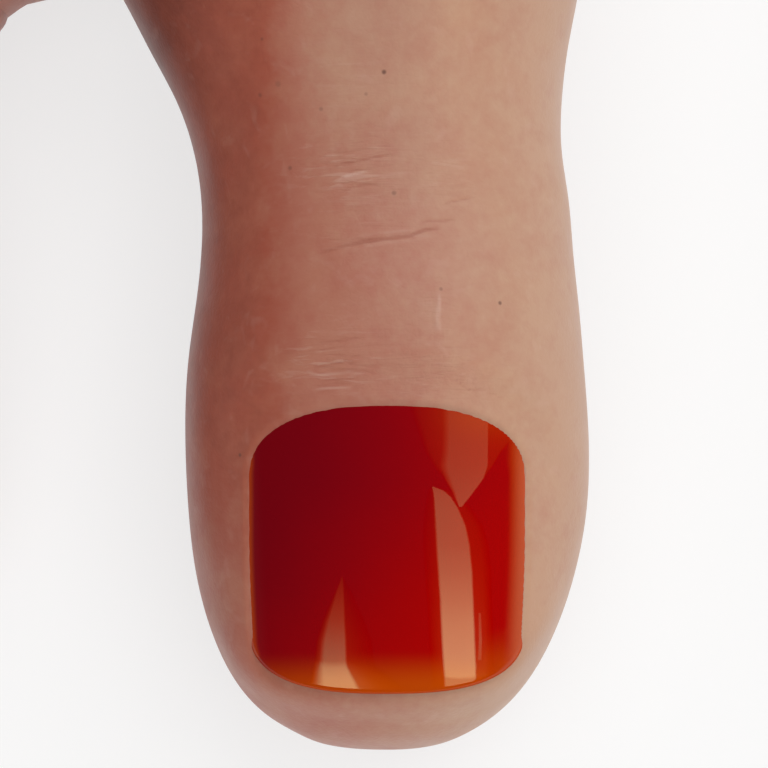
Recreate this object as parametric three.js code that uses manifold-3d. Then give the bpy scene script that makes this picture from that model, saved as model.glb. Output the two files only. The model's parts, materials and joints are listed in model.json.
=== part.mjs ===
// Nail practice foot: a life-size right foot in soft silicone over a hard skeleton with hinged toes.
// Each toe has a hard nail bed and a press-on nail that slides forward out of the slot under its cuticle.
// Millimetres, +Z up. The toes point along -Y and the big toe is on the +X side.
// The origin is on the surface the foot stands on, under the middle of its box.
import * as THREE from 'three';
import { mergeVertices } from 'three/addons/utils/BufferGeometryUtils.js';
import Module from 'manifold-3d';

const wasm = await Module();
wasm.setup();

// Sizes of the whole foot
const footLength = 230;
const footHeight = 96;
const skinWall = 7;
const clearance = 0.3;
const overrun = 4;
const farAway = 400;

// Toes. Tip and hinge are distances behind the tip of the big toe.
const bigToeSize = { width: 22.8, height: 20.6, tip: 0, hinge: 46 };
const secondToeSize = { width: 13.6, height: 13.8, tip: 9, hinge: 36.5 };
const thirdToeSize = { width: 12.8, height: 13.2, tip: 14, hinge: 39.5 };
const fourthToeSize = { width: 12.4, height: 12.8, tip: 20, hinge: 44.5 };
const littleToeSize = { width: 12.6, height: 12.4, tip: 28.5, hinge: 51.5 };
const sandalGap = 11.4;
const tipGap = 1.6;
const rootGap = 0.9;
const bigToeOffset = 33.9;

// Nails: plates of a tube, with the root hidden under the cuticle
const bigNailSteps = 8;
const lesserNailSteps = 5;
const bigNail = {
  steps: bigNailSteps,
  width: 15.5,
  length: 16.2,
  thickness: 0.8,
  hiddenRoot: 2.2,
  acrossRadius: 12.5,
  alongRadius: 60,
  freeEdge: 2,
  bedThickness: 1.6,
  bedInset: 0.9,
  stemRadius: 2,
  stemLength: 1.2,
};
const lesserNail = {
  steps: lesserNailSteps,
  thickness: 0.6,
  hiddenRoot: 1.3,
  alongRadius: 26,
  freeEdge: 1.3,
  bedThickness: 1.2,
  bedInset: 0.6,
  stemRadius: 1.2,
  stemLength: 0.8,
};
const secondNail = { ...lesserNail, width: 8.6, length: 8.8, acrossRadius: 6.5 };
const thirdNail = { ...lesserNail, width: 8, length: 8, acrossRadius: 6.1 };
const fourthNail = { ...lesserNail, width: 7.6, length: 7.4, acrossRadius: 5.9 };
const littleNail = { ...lesserNail, width: 7.2, length: 6.6, acrossRadius: 5.6 };
const toeSizes = [
  { name: 'big_toe', nail: bigNail, ...bigToeSize },
  { name: 'second_toe', nail: secondNail, ...secondToeSize },
  { name: 'third_toe', nail: thirdNail, ...thirdToeSize },
  { name: 'fourth_toe', nail: fourthNail, ...fourthToeSize },
  { name: 'little_toe', nail: littleNail, ...littleToeSize },
];
const nailTravel = 20;
const foldRise = 0.35;
const freeEdgeHeightShare = 0.738;
const stemPlaceShare = 0.48;

// Skeleton: flat links with an eye at the hinge, held between the two ears of a clevis
const bigBone = {
  width: 4.4, clevisWidth: 9.6, eyeRadius: 4.2, padRadius: 3, waistRadius: 2.6, pinRadius: 1.5,
};
const lesserBone = {
  width: 2.4, clevisWidth: 5.8, eyeRadius: 2.7, padRadius: 1.9, waistRadius: 1.6, pinRadius: 0.9,
};
const bigHingeHeight = 12.4;
const lesserHingeHeight = 8.4;
const knuckleBack = 27.5;
const knuckleHeight = 11.3;
const bigBandLength = 10;
const knuckleBandLength = 9;
const lesserBandLength = 8;

// Plate that carries the toe hinges, screwed under the core
const plateFront = 62;
const plateBack = 100;
const plateBottom = 9;
const plateThickness = 3;
const plateTailWidth = 34;
const plateSideMargin = 3;
const coreFront = 78;
const coreFirstRow = 4;
const coreFlatBack = 104;
const plateScrewBack = 90;
const plateScrewSpacing = 18;

// Cap that closes the core at the ankle, flush with the cut of the skin
const capThickness = 3;
const capRim = 6;
const capScrewCount = 3;
const capScrewCircle = 17;
const capScrewSinkDepth = 1.6;
const screwRadius = 1.5;
const screwHeadRadius = 2.8;
const screwHeadHeight = 1.8;
const screwLength = 11;
const driveWidth = 0.9;
const driveDepth = 0.8;
const headTopShare = 0.7;

// Ankle bones under the skin: radii along X, Y and Z, and how far each stands out from the ankle's side
const innerAnkle = { back: 163, height: 72, radii: [11, 14, 13], rise: 0, side: 1 };
const outerAnkle = { back: 172, height: 62, radii: [11, 12, 14], rise: 3.2, side: -1 };

// How finely round things are divided
const bodySides = 30;
const coreSides = 20;
const toeSides = 24;
const lesserToeSides = 16;
const roundSides = 10;
const curveSteps = 3;

// A big toe seen from above and from the side. Each row: place behind the tip as a share of the length
// from tip to hinge, half widths on the web side and the free side as shares of the half width, top and
// underside as shares of the height.
const bigToeShares = [
  [0, 0.14, 0.123, 0.451, 0.291], [0.0077, 0.316, 0.263, 0.515, 0.238],
  [0.022, 0.456, 0.404, 0.583, 0.18], [0.043, 0.596, 0.535, 0.665, 0.126],
  [0.0698, 0.71, 0.65, 0.743, 0.087], [0.1282, 0.846, 0.803, 0.801, 0.039],
  [0.2133, 0.947, 0.93, 0.862, 0.005], [0.3003, 0.987, 0.991, 0.912, -0.015],
  [0.3845, 1, 0.996, 0.966, -0.005], [0.4783, 0.982, 0.97, 1, 0.034],
  [0.5433, 0.947, 0.947, 1, 0.073], [0.6083, 0.921, 0.921, 0.985, 0.121],
  [0.6743, 0.925, 0.895, 0.99, 0.146], [0.7394, 0.974, 0.86, 1.01, 0.15],
  [0.8044, 1.07, 0.864, 1.044, 0.146], [0.8695, 1.21, 0.895, 1.087, 0.126],
  [0.9345, 1.35, 0.947, 1.146, 0.107], [0.9996, 1.49, 0.99, 1.19, 0.09],
  [1.0866, 1.56, 1.03, 1.215, 0.09], [1.2607, 1.4, 0.95, 1.15, 0.12],
];
// The same for the other toes, which are alike on both sides
const lesserToeShares = [
  [0, 0.14, 0.14, 0.5, 0.36], [0.012, 0.36, 0.36, 0.59, 0.28], [0.04, 0.57, 0.57, 0.68, 0.19],
  [0.09, 0.77, 0.77, 0.77, 0.1], [0.18, 0.93, 0.93, 0.86, 0.02], [0.3, 1, 1, 0.94, -0.025],
  [0.42, 1, 1, 1, 0.01], [0.54, 0.96, 0.96, 1.04, 0.07], [0.68, 0.93, 0.93, 1.05, 0.16],
  [0.84, 0.94, 0.94, 1.045, 0.2], [1, 0.98, 0.98, 1.07, 0.17], [1.18, 1, 1, 1.12, 0.14],
  [1.4, 0.98, 0.98, 1.18, 0.16], [1.9, 0.8, 0.8, 1.2, 0.35],
];
const toeWaistShare = 0.47;
const toeCrownPower = 2.1;
const toeSolePower = 2.4;

// The foot behind the toes, as slices that swing from upright at the ball to level at the ankle.
// Each row: the slice's top point (across, back, up), its bottom point (across, back, up), its inner and
// outer edge, the height of its widest line, how square it is on top, below inside and below outside, and
// how much further back its outer edge lies. Across is a share of the half breadth, back of the foot
// length and up of the foot height.
const bodyShares = [
  [0.02, 0.172, 0.12, 0.02, 0.172, 0.066, 0.08, -0.05, 0.5, 2, 2, 2, 0.075],
  [0, 0.181, 0.15, 0, 0.181, 0.048, 0.21, -0.55, 0.5, 2, 2, 2, 0.075],
  [0.1, 0.192, 0.182, 0, 0.192, 0.035, 0.34, -0.86, 0.5, 2, 2.2, 2.2, 0.075],
  [0.3, 0.209, 0.225, 0, 0.209, 0.02, 0.84, -0.97, 0.48, 2, 2.3, 2.3, 0.072],
  [0.42, 0.23, 0.262, 0, 0.23, 0.006, 1, -1.01, 0.45, 2, 2.3, 2.3, 0.066],
  [0.44, 0.254, 0.3, 0, 0.254, -0.004, 1.035, -1.03, 0.43, 2, 2.4, 2.4, 0.058],
  [0.43, 0.28, 0.335, 0, 0.28, -0.007, 1.045, -1.04, 0.41, 2, 2.5, 2.5, 0.046],
  [0.42, 0.318, 0.387, 0, 0.318, -0.006, 1.02, -1.04, 0.38, 1.95, 2.5, 2.6, 0.03],
  [0.38, 0.376, 0.466, -0.1, 0.376, 0.004, 0.93, -1.02, 0.36, 1.9, 2.2, 2.7, 0.012],
  [0.34, 0.439, 0.552, -0.3, 0.452, 0.03, 0.82, -0.96, 0.36, 1.9, 1.8, 2.7, 0],
  [0.29, 0.491, 0.641, -0.38, 0.548, 0.05, 0.74, -0.87, 0.38, 1.9, 1.7, 2.6, 0],
  [0.24, 0.539, 0.729, -0.3, 0.661, 0.027, 0.69, -0.79, 0.4, 1.95, 1.9, 2.5, 0],
  [0.18, 0.576, 0.813, -0.08, 0.787, -0.006, 0.665, -0.72, 0.42, 2, 2.3, 2.4, 0],
  [0.13, 0.597, 0.876, 0, 0.895, -0.004, 0.65, -0.68, 0.44, 2, 2.3, 2.3, 0],
  [0.11, 0.606, 0.917, 0, 0.952, 0.062, 0.643, -0.665, 0.45, 2, 2.2, 2.2, 0],
  [0.09, 0.612, 0.946, 0, 0.984, 0.16, 0.63, -0.645, 0.47, 2, 2.1, 2.1, 0],
  [0.07, 0.615, 0.964, 0, 0.998, 0.27, 0.615, -0.625, 0.48, 2, 2, 2, 0],
  [0.05, 0.617, 0.978, 0, 1, 0.39, 0.6, -0.61, 0.5, 2, 2, 2, 0],
  [0, 0.617, 0.992, 0, 0.968, 0.64, 0.595, -0.6, 0.52, 2, 1.9, 1.9, 0],
  [0, 0.615, 1, 0, 0.94, 1, 0.6, -0.6, 0.52, 2.1, 1.9, 1.9, 0],
];
const sweepStartShare = 0.1;

// A nail's outline: depth of the cuticle arch and of the rounded free edge as shares of the visible length
const cuticleArchShare = 0.244;
const freeArchShare = 0.22;
const freeWidthShare = 0.955;
const cuticlePower = 2.3;
const freePower = 3;
const plateRingShares = [1, 0.5];

// Solids and meshes

function toSolid(geometry) {
  const bare = new THREE.BufferGeometry();
  bare.setAttribute('position', geometry.getAttribute('position').clone());
  if (geometry.index) bare.setIndex(geometry.index.clone());
  const merged = mergeVertices(bare);
  const whole = [];
  for (let i = 0; i < merged.index.count; i += 3) {
    const [a, b, c] = [merged.index.getX(i), merged.index.getX(i + 1), merged.index.getX(i + 2)];
    if (a !== b && b !== c && a !== c) whole.push(a, b, c);
  }
  const mesh = new wasm.Mesh({
    numProp: 3, vertProperties: merged.attributes.position.array, triVerts: new Uint32Array(whole),
  });
  mesh.merge();
  return new wasm.Manifold(mesh);
}

function toGeometry(solid) {
  const mesh = solid.getMesh();
  const positions = new Float32Array(mesh.numVert * 3);
  for (let i = 0; i < mesh.numVert; i++) {
    positions.set(mesh.vertProperties.subarray(i * mesh.numProp, i * mesh.numProp + 3), i * 3);
  }
  const geometry = new THREE.BufferGeometry();
  geometry.setAttribute('position', new THREE.BufferAttribute(positions, 3));
  geometry.setIndex(new THREE.BufferAttribute(mesh.triVerts, 1));
  geometry.computeVertexNormals();
  return geometry;
}

const moved = (solid, matrix) => toSolid(toGeometry(solid).applyMatrix4(matrix));
const joined = (solids) => solids.reduce((whole, solid) => whole.add(solid));
const without = (solid, cutters) => cutters.reduce((rest, cutter) => rest.subtract(cutter), solid);

function boxSolid(low, high) {
  const size = new THREE.Vector3().subVectors(high, low);
  const middle = new THREE.Vector3().addVectors(low, high).multiplyScalar(0.5);
  return toSolid(new THREE.BoxGeometry(size.x, size.y, size.z).translate(middle.x, middle.y, middle.z));
}

// Everything between two distances behind a toe's tip
const slice = (from, to) => boxSolid(
  new THREE.Vector3(-farAway, from, -farAway), new THREE.Vector3(farAway, to, farAway),
);

// Joins rings of equally many points into one closed solid with flat ends.
function loft(rings) {
  const sides = rings[0].length;
  const points = rings.flat();
  const faces = [];
  for (let r = 0; r < rings.length - 1; r++) {
    for (let i = 0; i < sides; i++) {
      const [a, b] = [r * sides + i, r * sides + (i + 1) % sides];
      faces.push(a, b, b + sides, a, b + sides, a + sides);
    }
  }
  const middle = (ring) => ring.reduce((sum, p) => sum.add(p), new THREE.Vector3()).divideScalar(sides);
  const first = points.push(middle(rings[0])) - 1;
  const last = points.push(middle(rings[rings.length - 1])) - 1;
  const lastRing = (rings.length - 1) * sides;
  for (let i = 0; i < sides; i++) {
    const next = (i + 1) % sides;
    faces.push(first, next, i, last, lastRing + i, lastRing + next);
  }
  return toSolid(new THREE.BufferGeometry().setFromPoints(points).setIndex(faces));
}

// A plate whose top and underside follow two height functions of (x, y) inside an outline.
function plate(outline, upper, lower) {
  const middle = outline.reduce((sum, p) => sum.add(p), new THREE.Vector2()).divideScalar(outline.length);
  const count = outline.length;
  const points = [];
  for (const height of [upper, lower]) {
    for (const share of plateRingShares) {
      for (const p of outline) {
        const q = new THREE.Vector2().lerpVectors(middle, p, share);
        points.push(new THREE.Vector3(q.x, q.y, height(q.x, q.y)));
      }
    }
    points.push(new THREE.Vector3(middle.x, middle.y, height(middle.x, middle.y)));
  }
  const rings = plateRingShares.length;
  const perSide = rings * count + 1;
  const faces = [];
  for (let i = 0; i < count; i++) {
    const j = (i + 1) % count;
    for (const [start, turned] of [[0, false], [perSide, true]]) {
      const add = (a, b, c) => faces.push(...(turned ? [a, c, b] : [a, b, c]));
      for (let r = 0; r < rings - 1; r++) {
        const [outer, inner] = [start + r * count, start + (r + 1) * count];
        add(outer + i, outer + j, inner + j);
        add(outer + i, inner + j, inner + i);
      }
      const innermost = start + (rings - 1) * count;
      add(innermost + i, innermost + j, start + perSide - 1);
    }
    faces.push(i, perSide + i, perSide + j, i, perSide + j, j);
  }
  return toSolid(new THREE.BufferGeometry().setFromPoints(points).setIndex(faces));
}

// One ring made of four superellipse quarters between a top, a bottom, an inner and an outer point.
function ring({ top, bottom, inner, outer, waist, topPower, innerPower, outerPower }, sides) {
  const up = new THREE.Vector3(0, top.y - bottom.y, top.z - bottom.z);
  const points = [];
  for (let i = 0; i < sides; i++) {
    const angle = i / sides * Math.PI * 2;
    const [across, along] = [Math.sin(angle), Math.cos(angle)];
    const upper = along >= 0;
    const power = upper ? topPower : across >= 0 ? innerPower : outerPower;
    const start = upper ? top.x : bottom.x;
    const edge = across >= 0 ? inner : outer;
    const x = start + (edge - start) * Math.abs(across) ** (2 / power);
    const height = waist + (upper ? 1 - waist : -waist) * Math.abs(along) ** (2 / power);
    points.push(new THREE.Vector3(x, bottom.y + up.y * height, bottom.z + up.z * height));
  }
  return points;
}

// Toes

// Where the axes of the other four toes lie across the foot, with a gap between neighbours
function lesserAxes(gap) {
  const places = [bigToeOffset - (bigToeSize.width + secondToeSize.width) / 2 - sandalGap];
  for (let i = 2; i < toeSizes.length; i++) {
    places.push(places[i - 2] - (toeSizes[i - 1].width + toeSizes[i].width) / 2 - gap);
  }
  return places;
}

const tipAcross = [bigToeOffset, ...lesserAxes(tipGap)];
const rootAcross = [bigToeOffset, ...lesserAxes(rootGap)];

// Where the plan of a toe starts and which way it runs. Toe pieces are made with +Y running back from the tip.
const toes = toeSizes.map((size, i) => {
  const across = rootAcross[i] - tipAcross[i];
  const back = size.hinge - size.tip;
  return {
    ...size,
    isBig: i === 0,
    bone: i === 0 ? bigBone : lesserBone,
    hingeHeight: i === 0 ? bigHingeHeight : lesserHingeHeight,
    band: i === 0 ? bigBandLength : lesserBandLength,
    length: Math.hypot(across, back),
    matrix: new THREE.Matrix4().makeRotationZ(-Math.atan2(across, back))
      .setPosition(tipAcross[i], size.tip, 0),
  };
});
const bigToe = toes[0];
const littleToe = toes[4];
const innerSide = tipAcross[0] + bigToe.width / 2;
const outerSide = tipAcross[4] - littleToe.width / 2;
const halfBreadth = (innerSide - outerSide) / 2;
const midline = (innerSide + outerSide) / 2;

const toeRows = (toe) => (toe.isBig ? bigToeShares : lesserToeShares);

function toeForm(toe, grow = 0) {
  const half = toe.width / 2;
  return loft(toeRows(toe).map(([back, web, free, top, bottom]) => ring({
    top: new THREE.Vector3(0, back * toe.length, top * toe.height + grow),
    bottom: new THREE.Vector3(0, back * toe.length, bottom * toe.height - grow),
    inner: free * half + grow,
    outer: -web * half - grow,
    waist: toeWaistShare,
    topPower: toeCrownPower,
    innerPower: toeSolePower,
    outerPower: toeSolePower,
  }, toe.isBig ? toeSides : lesserToeSides)));
}

// Height of the top of a toe at a distance behind its tip
function crown(toe, back) {
  const rows = toeRows(toe);
  const share = back / toe.length;
  const after = rows.findIndex((row) => row[0] >= share);
  const [low, high] = [rows[after - 1], rows[after]];
  const part = (share - low[0]) / (high[0] - low[0]);
  return (low[3] + (high[3] - low[3]) * part) * toe.height;
}

// Nails

// The nail's own frame: +Y forward along the way it slides, +Z out of the nail, origin on top at the cuticle.
function seatNail(toe) {
  const { nail } = toe;
  const freeHeight = freeEdgeHeightShare * toe.height;
  let run = nail.length;
  let rise = 0;
  for (let pass = 0; pass < 4; pass++) {
    rise = crown(toe, nail.freeEdge + run) - foldRise - freeHeight;
    run = Math.sqrt(nail.length ** 2 - rise ** 2);
  }
  const slope = Math.atan2(rise, run) - (nail.length / 2 + nail.hiddenRoot) / nail.alongRadius;
  const forward = new THREE.Vector3(0, -Math.cos(slope), -Math.sin(slope));
  const out = new THREE.Vector3(0, -Math.sin(slope), Math.cos(slope));
  return new THREE.Matrix4().makeBasis(new THREE.Vector3(-1, 0, 0), forward, out)
    .setPosition(0, nail.freeEdge + run, freeHeight + rise);
}

const acrossDrop = (nail, x) => nail.acrossRadius - Math.sqrt(nail.acrossRadius ** 2 - x ** 2);
const alongDrop = (nail, y) => (y + nail.hiddenRoot) ** 2 / (2 * nail.alongRadius);
const nailTop = (nail) => (x, y) => -acrossDrop(nail, x) - alongDrop(nail, y);
const nailUnder = (nail) => (x, y) => nailTop(nail)(x, y) - nail.thickness;
const raised = (height, by) => (x, y) => height(x, y) + by;

// Half width of the nail at a share of its length, from 0 at the root to 1 at the free edge
function nailWidthAt(share) {
  const arch = Math.max(0, 1 - share / cuticleArchShare);
  const end = Math.max(0, (share - 1 + freeArchShare) / freeArchShare);
  const along = THREE.MathUtils.smoothstep(share, cuticleArchShare, 1);
  const taper = THREE.MathUtils.lerp(1, freeWidthShare, along);
  return taper * (1 - arch ** cuticlePower) ** (1 / cuticlePower) * (1 - end ** freePower) ** (1 / freePower);
}

// The outline in the nail's frame, grown all round. A swept one runs straight on past its widest place.
function nailOutline(nail, { grow = 0, root = nail.hiddenRoot, swept = 0 }) {
  const half = nail.width / 2 + grow;
  const [start, end] = [-root - grow, nail.length + grow];
  const side = [];
  for (let i = 0; i <= nail.steps; i++) {
    const share = (1 - Math.cos(i / nail.steps * Math.PI)) / 2;
    const widest = cuticleArchShare + (1 - cuticleArchShare - freeArchShare) / 2;
    if (swept && share > widest) break;
    side.push(new THREE.Vector2(half * nailWidthAt(share), start + (end - start) * share));
  }
  if (swept) side.push(new THREE.Vector2(half, end + swept));
  const paired = swept ? side.slice(1) : side.slice(1, -1);
  const other = paired.reverse().map((p) => new THREE.Vector2(-p.x, p.y));
  return [...side, ...other];
}

const nailPlate = (nail) => plate(nailOutline(nail, {}), nailTop(nail), nailUnder(nail));

function nailBed(toe) {
  const { nail } = toe;
  const outline = nailOutline(nail, { grow: -nail.bedInset, root: 0 });
  const surface = raised(nailUnder(nail), -clearance);
  const bed = plate(outline, surface, raised(surface, -nail.bedThickness));
  return bed.add(stem(toe, nail.stemRadius, 0));
}

const stemPlace = (nail) => nail.length * stemPlaceShare;
const stemTop = (nail) => nailUnder(nail)(0, stemPlace(nail)) - clearance - nail.bedThickness;

function stem(toe, radius, grow) {
  const { nail } = toe;
  const high = stemTop(nail) + nail.bedThickness / 2;
  const low = stemTop(nail) - nail.stemLength - grow;
  const rod = new THREE.CylinderGeometry(radius + grow, radius + grow, high - low, roundSides);
  return toSolid(rod.rotateX(Math.PI / 2).translate(0, stemPlace(nail), (high + low) / 2));
}

// All that is cut from a toe's skin for its nail and bed, with room for the nail to slide out
function nailRoom(toe) {
  const { nail } = toe;
  const below = raised(nailUnder(nail), -clearance);
  const level = (x, y) => below(x, Math.min(y, nail.length));
  const openOutline = nailOutline(nail, { grow: clearance, root: 0, swept: nailTravel });
  const open = plate(openOutline, () => farAway, level);
  const slot = plate(nailOutline(nail, { grow: clearance }), raised(nailTop(nail), clearance), below);
  const bedOutline = nailOutline(nail, { grow: clearance - nail.bedInset, root: 0 });
  const bedFloor = raised(below, -nail.bedThickness - clearance);
  const bed = plate(bedOutline, raised(below, nail.thickness / 2), bedFloor);
  return joined([open, slot, bed, stem(toe, nail.stemRadius, clearance)]);
}

// Bones

// Centre of the round pad at the front of a toe bone, straight under the nail bed's stem
function padCentre(toe) {
  const depth = stemTop(toe.nail) - toe.nail.stemLength - clearance - toe.bone.padRadius;
  return new THREE.Vector3(0, stemPlace(toe.nail), depth).applyMatrix4(seatNail(toe));
}

const extruded = (outline, depth) => new THREE.ExtrudeGeometry(
  outline, { depth, bevelEnabled: false, curveSegments: curveSteps },
);

// A flat link with an eye at one end and a round pad at the other, waisted between them
function link(from, to, { startRadius, endRadius, waistRadius, width, grow = 0 }) {
  const length = from.distanceTo(to);
  const [start, end, waist] = [startRadius + grow, endRadius + grow, waistRadius + grow];
  const half = Math.PI / 2;
  const outline = new THREE.Shape();
  outline.moveTo(0, -start);
  outline.bezierCurveTo(length / 3, -waist, length / 2, -waist, length, -end);
  outline.absarc(length, 0, end, -half, half, false);
  outline.bezierCurveTo(length / 2, waist, length / 3, waist, 0, start);
  outline.absarc(0, 0, start, half, 3 * half, false);
  const depth = width + 2 * grow;
  const geometry = extruded(outline, depth);
  const forward = new THREE.Vector3().subVectors(to, from).normalize();
  const side = new THREE.Vector3(-1, 0, 0);
  const basis = new THREE.Matrix4().makeBasis(forward, new THREE.Vector3().crossVectors(side, forward), side);
  return toSolid(geometry.translate(0, 0, -depth / 2).applyMatrix4(basis.setPosition(from)));
}

// A rod across the toe, through a point
function crossRod(centre, radius, length) {
  const rod = new THREE.CylinderGeometry(radius, radius, length, roundSides).rotateZ(Math.PI / 2);
  return toSolid(rod.translate(centre.x, centre.y, centre.z));
}

// The gap between a clevis's ears, open to the front, that takes the eye of the next bone
function clevisGap(centre, bone) {
  const half = bone.width / 2 + clearance;
  const reach = bone.eyeRadius + 2 * clearance;
  return boxSolid(
    new THREE.Vector3(-half, centre.y - reach - overrun, centre.z - reach - overrun),
    new THREE.Vector3(half, centre.y + reach, centre.z + reach + overrun),
  );
}

const hingeCentre = (toe) => new THREE.Vector3(0, toe.length, toe.hingeHeight);
const knuckleCentre = new THREE.Vector3(0, knuckleBack, knuckleHeight);
const boneSizes = ({ eyeRadius, padRadius, waistRadius }) => (
  { startRadius: eyeRadius, endRadius: padRadius, waistRadius }
);

// The bone that ends under the nail, from the hinge it turns on
function tipBone(toe, grow = 0) {
  const from = toe.isBig ? knuckleCentre : hingeCentre(toe);
  const body = link(from, padCentre(toe), { ...boneSizes(toe.bone), width: toe.bone.width, grow });
  return grow ? body : body.subtract(crossRod(from, toe.bone.pinRadius + clearance, farAway));
}

// The big toe's middle bone: an eye at the root and a clevis at the knuckle
function middleBone(grow = 0) {
  const { bone } = bigToe;
  const root = hingeCentre(bigToe);
  const sizes = { ...boneSizes(bone), endRadius: bone.eyeRadius };
  const clevisBack = knuckleBack + bone.eyeRadius + overrun;
  const slim = link(root, knuckleCentre, { ...sizes, width: bone.width, grow });
  const wide = link(root, knuckleCentre, { ...sizes, width: bone.clevisWidth, grow })
    .intersect(slice(-farAway, clevisBack + grow));
  const body = slim.add(wide);
  if (grow) return body;
  const pinHole = bone.pinRadius + clearance;
  return without(body, [
    clevisGap(knuckleCentre, bone),
    crossRod(knuckleCentre, pinHole, farAway),
    crossRod(root, pinHole, farAway),
  ]);
}

const toeTurn = (toe) => Math.asin(toe.matrix.elements[1]);

// An arm of the hinge plate, from the plate to the toe's hinge
function hingeArm(toe, grow = 0) {
  const { bone } = toe;
  const toPlate = (plateFront + overrun - toe.tip) / Math.cos(toeTurn(toe));
  const root = new THREE.Vector3(0, toPlate, plateBottom + plateThickness / 2);
  return link(root, hingeCentre(toe), {
    startRadius: plateThickness / 2,
    endRadius: bone.eyeRadius,
    waistRadius: bone.waistRadius,
    width: bone.clevisWidth,
    grow,
  });
}

const hingePin = (centre, bone) => crossRod(centre, bone.pinRadius, bone.clevisWidth);

function hingeHole(toe) {
  const { bone } = toe;
  return crossRod(hingeCentre(toe), bone.pinRadius + clearance, bone.clevisWidth + overrun);
}

// The plate in plan: wide in front, where the arms start, and narrow where it is screwed to the core
function hingePlate(grow = 0) {
  const armPlace = ({ matrix, tip }) => new THREE.Vector3(0, plateFront - tip, 0).applyMatrix4(matrix).x;
  const front = plateFront - grow;
  const back = plateBack + grow;
  const innerEdge = armPlace(bigToe) + bigBone.clevisWidth / 2 + grow;
  const outerEdge = armPlace(littleToe) - lesserBone.clevisWidth / 2 - plateSideMargin - grow;
  const tail = plateTailWidth / 2 + grow;
  const outline = new THREE.Shape();
  outline.moveTo(innerEdge, front);
  outline.quadraticCurveTo(innerEdge, coreFront, midline + tail, coreFront + overrun);
  outline.lineTo(midline + tail, back);
  outline.lineTo(midline - tail, back);
  outline.lineTo(midline - tail, coreFront + overrun);
  outline.quadraticCurveTo(outerEdge, coreFront, outerEdge, front);
  const depth = plateThickness + 2 * grow;
  return joined([
    toSolid(extruded(outline, depth).translate(0, 0, plateBottom - grow)),
    ...toes.map((toe) => moved(hingeArm(toe, grow), toe.matrix)),
  ]);
}

// Foot behind the toes

function bodyRing(row, inset, sides) {
  const [inner, outer, waist, topPower, innerPower, outerPower, sweep] = row.slice(6);
  const across = (share) => midline + share * halfBreadth;
  const place = ([x, back, up]) => new THREE.Vector3(across(x), back * footLength, up * footHeight);
  const top = place(row.slice(0, 3));
  const bottom = place(row.slice(3, 6));
  const inward = new THREE.Vector3(0, top.y - bottom.y, top.z - bottom.z).setLength(inset);
  const points = ring({
    top: top.sub(inward),
    bottom: bottom.add(inward),
    inner: across(inner) - inset,
    outer: across(outer) + inset,
    waist,
    topPower,
    innerPower,
    outerPower,
  }, sides);
  points.forEach((point) => {
    const outward = Math.max(0, sweepStartShare - (point.x - midline) / halfBreadth) / (1 + sweepStartShare);
    point.y += sweep * footLength * outward ** 2;
  });
  return points;
}

const topRow = bodyShares[bodyShares.length - 1];
const bodyForm = (rows, inset, sides) => loft(rows.map((row) => bodyRing(row, inset, sides)));

function ankleBone({ back, height, radii, rise, side }) {
  const edge = side > 0 ? topRow[6] : topRow[7];
  const ball = new THREE.SphereGeometry(1, bodySides / 2, roundSides).scale(...radii);
  return toSolid(ball.translate(midline + edge * halfBreadth - side * (radii[0] - rise), back, height));
}

// The level disc inside the ankle's cut, between two heights
function ankleDisc(inset, low, high) {
  const level = (z) => bodyRing(topRow, inset, bodySides).map((p) => p.clone().setZ(z));
  return loft([level(low), level(high)]);
}

const capBottom = footHeight - capThickness;
const coreTop = capBottom - clearance;

function coreForm(grow = 0) {
  const body = bodyForm(bodyShares.slice(coreFirstRow), skinWall - grow, coreSides);
  const keep = boxSolid(
    new THREE.Vector3(-farAway, coreFront - grow, 0),
    new THREE.Vector3(farAway, farAway, coreTop + grow / 2),
  );
  const underPlate = boxSolid(
    new THREE.Vector3(-farAway, 0, -overrun),
    new THREE.Vector3(farAway, coreFlatBack - 2 * grow, plateBottom + plateThickness + clearance - 2 * grow),
  );
  return body.intersect(keep).subtract(underPlate);
}

// Screws: head and shank turned in one profile, with a slot across the head
function screwProfile(countersunk, grow) {
  const [shank, wide] = [screwRadius + grow, screwHeadRadius + grow];
  const end = -screwLength - grow;
  const top = screwHeadHeight + grow;
  const head = countersunk
    ? [[shank, -capScrewSinkDepth], [wide, 0], [wide, grow], [0, grow]]
    : [[shank, -grow], [wide, -grow], [wide, screwHeadHeight / 2], [wide * headTopShare, top], [0, top]];
  const upward = [[0, end], [shank, end], ...head].map(([x, y]) => new THREE.Vector2(x, y));
  return toSolid(new THREE.LatheGeometry(upward, roundSides).rotateX(Math.PI / 2));
}

function screw(countersunk) {
  const high = countersunk ? 0 : screwHeadHeight;
  const slot = boxSolid(
    new THREE.Vector3(-farAway, -driveWidth / 2, high - driveDepth),
    new THREE.Vector3(farAway, driveWidth / 2, high + overrun),
  );
  return screwProfile(countersunk, 0).subtract(slot);
}

const ankleMiddle = new THREE.Vector3(midline, (topRow[1] + topRow[4]) / 2 * footLength, footHeight);
const capScrewPlaces = Array.from({ length: capScrewCount }, (_, i) => {
  const angle = Math.PI / 2 + i / capScrewCount * Math.PI * 2;
  const offset = new THREE.Vector3(Math.cos(angle), Math.sin(angle), 0).multiplyScalar(capScrewCircle);
  return new THREE.Matrix4().setPosition(ankleMiddle.clone().add(offset));
});
const plateScrewPlaces = [-1, 1].map((side) => new THREE.Matrix4().makeRotationX(Math.PI)
  .setPosition(midline + side * plateScrewSpacing / 2, plateScrewBack, plateBottom - clearance));
const screwRoom = (countersunk, places) => joined(
  places.map((place) => moved(screwProfile(countersunk, clearance), place)),
);
const capScrewRoom = screwRoom(true, capScrewPlaces);
const plateScrewRoom = screwRoom(false, plateScrewPlaces);

// Assembly

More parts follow.
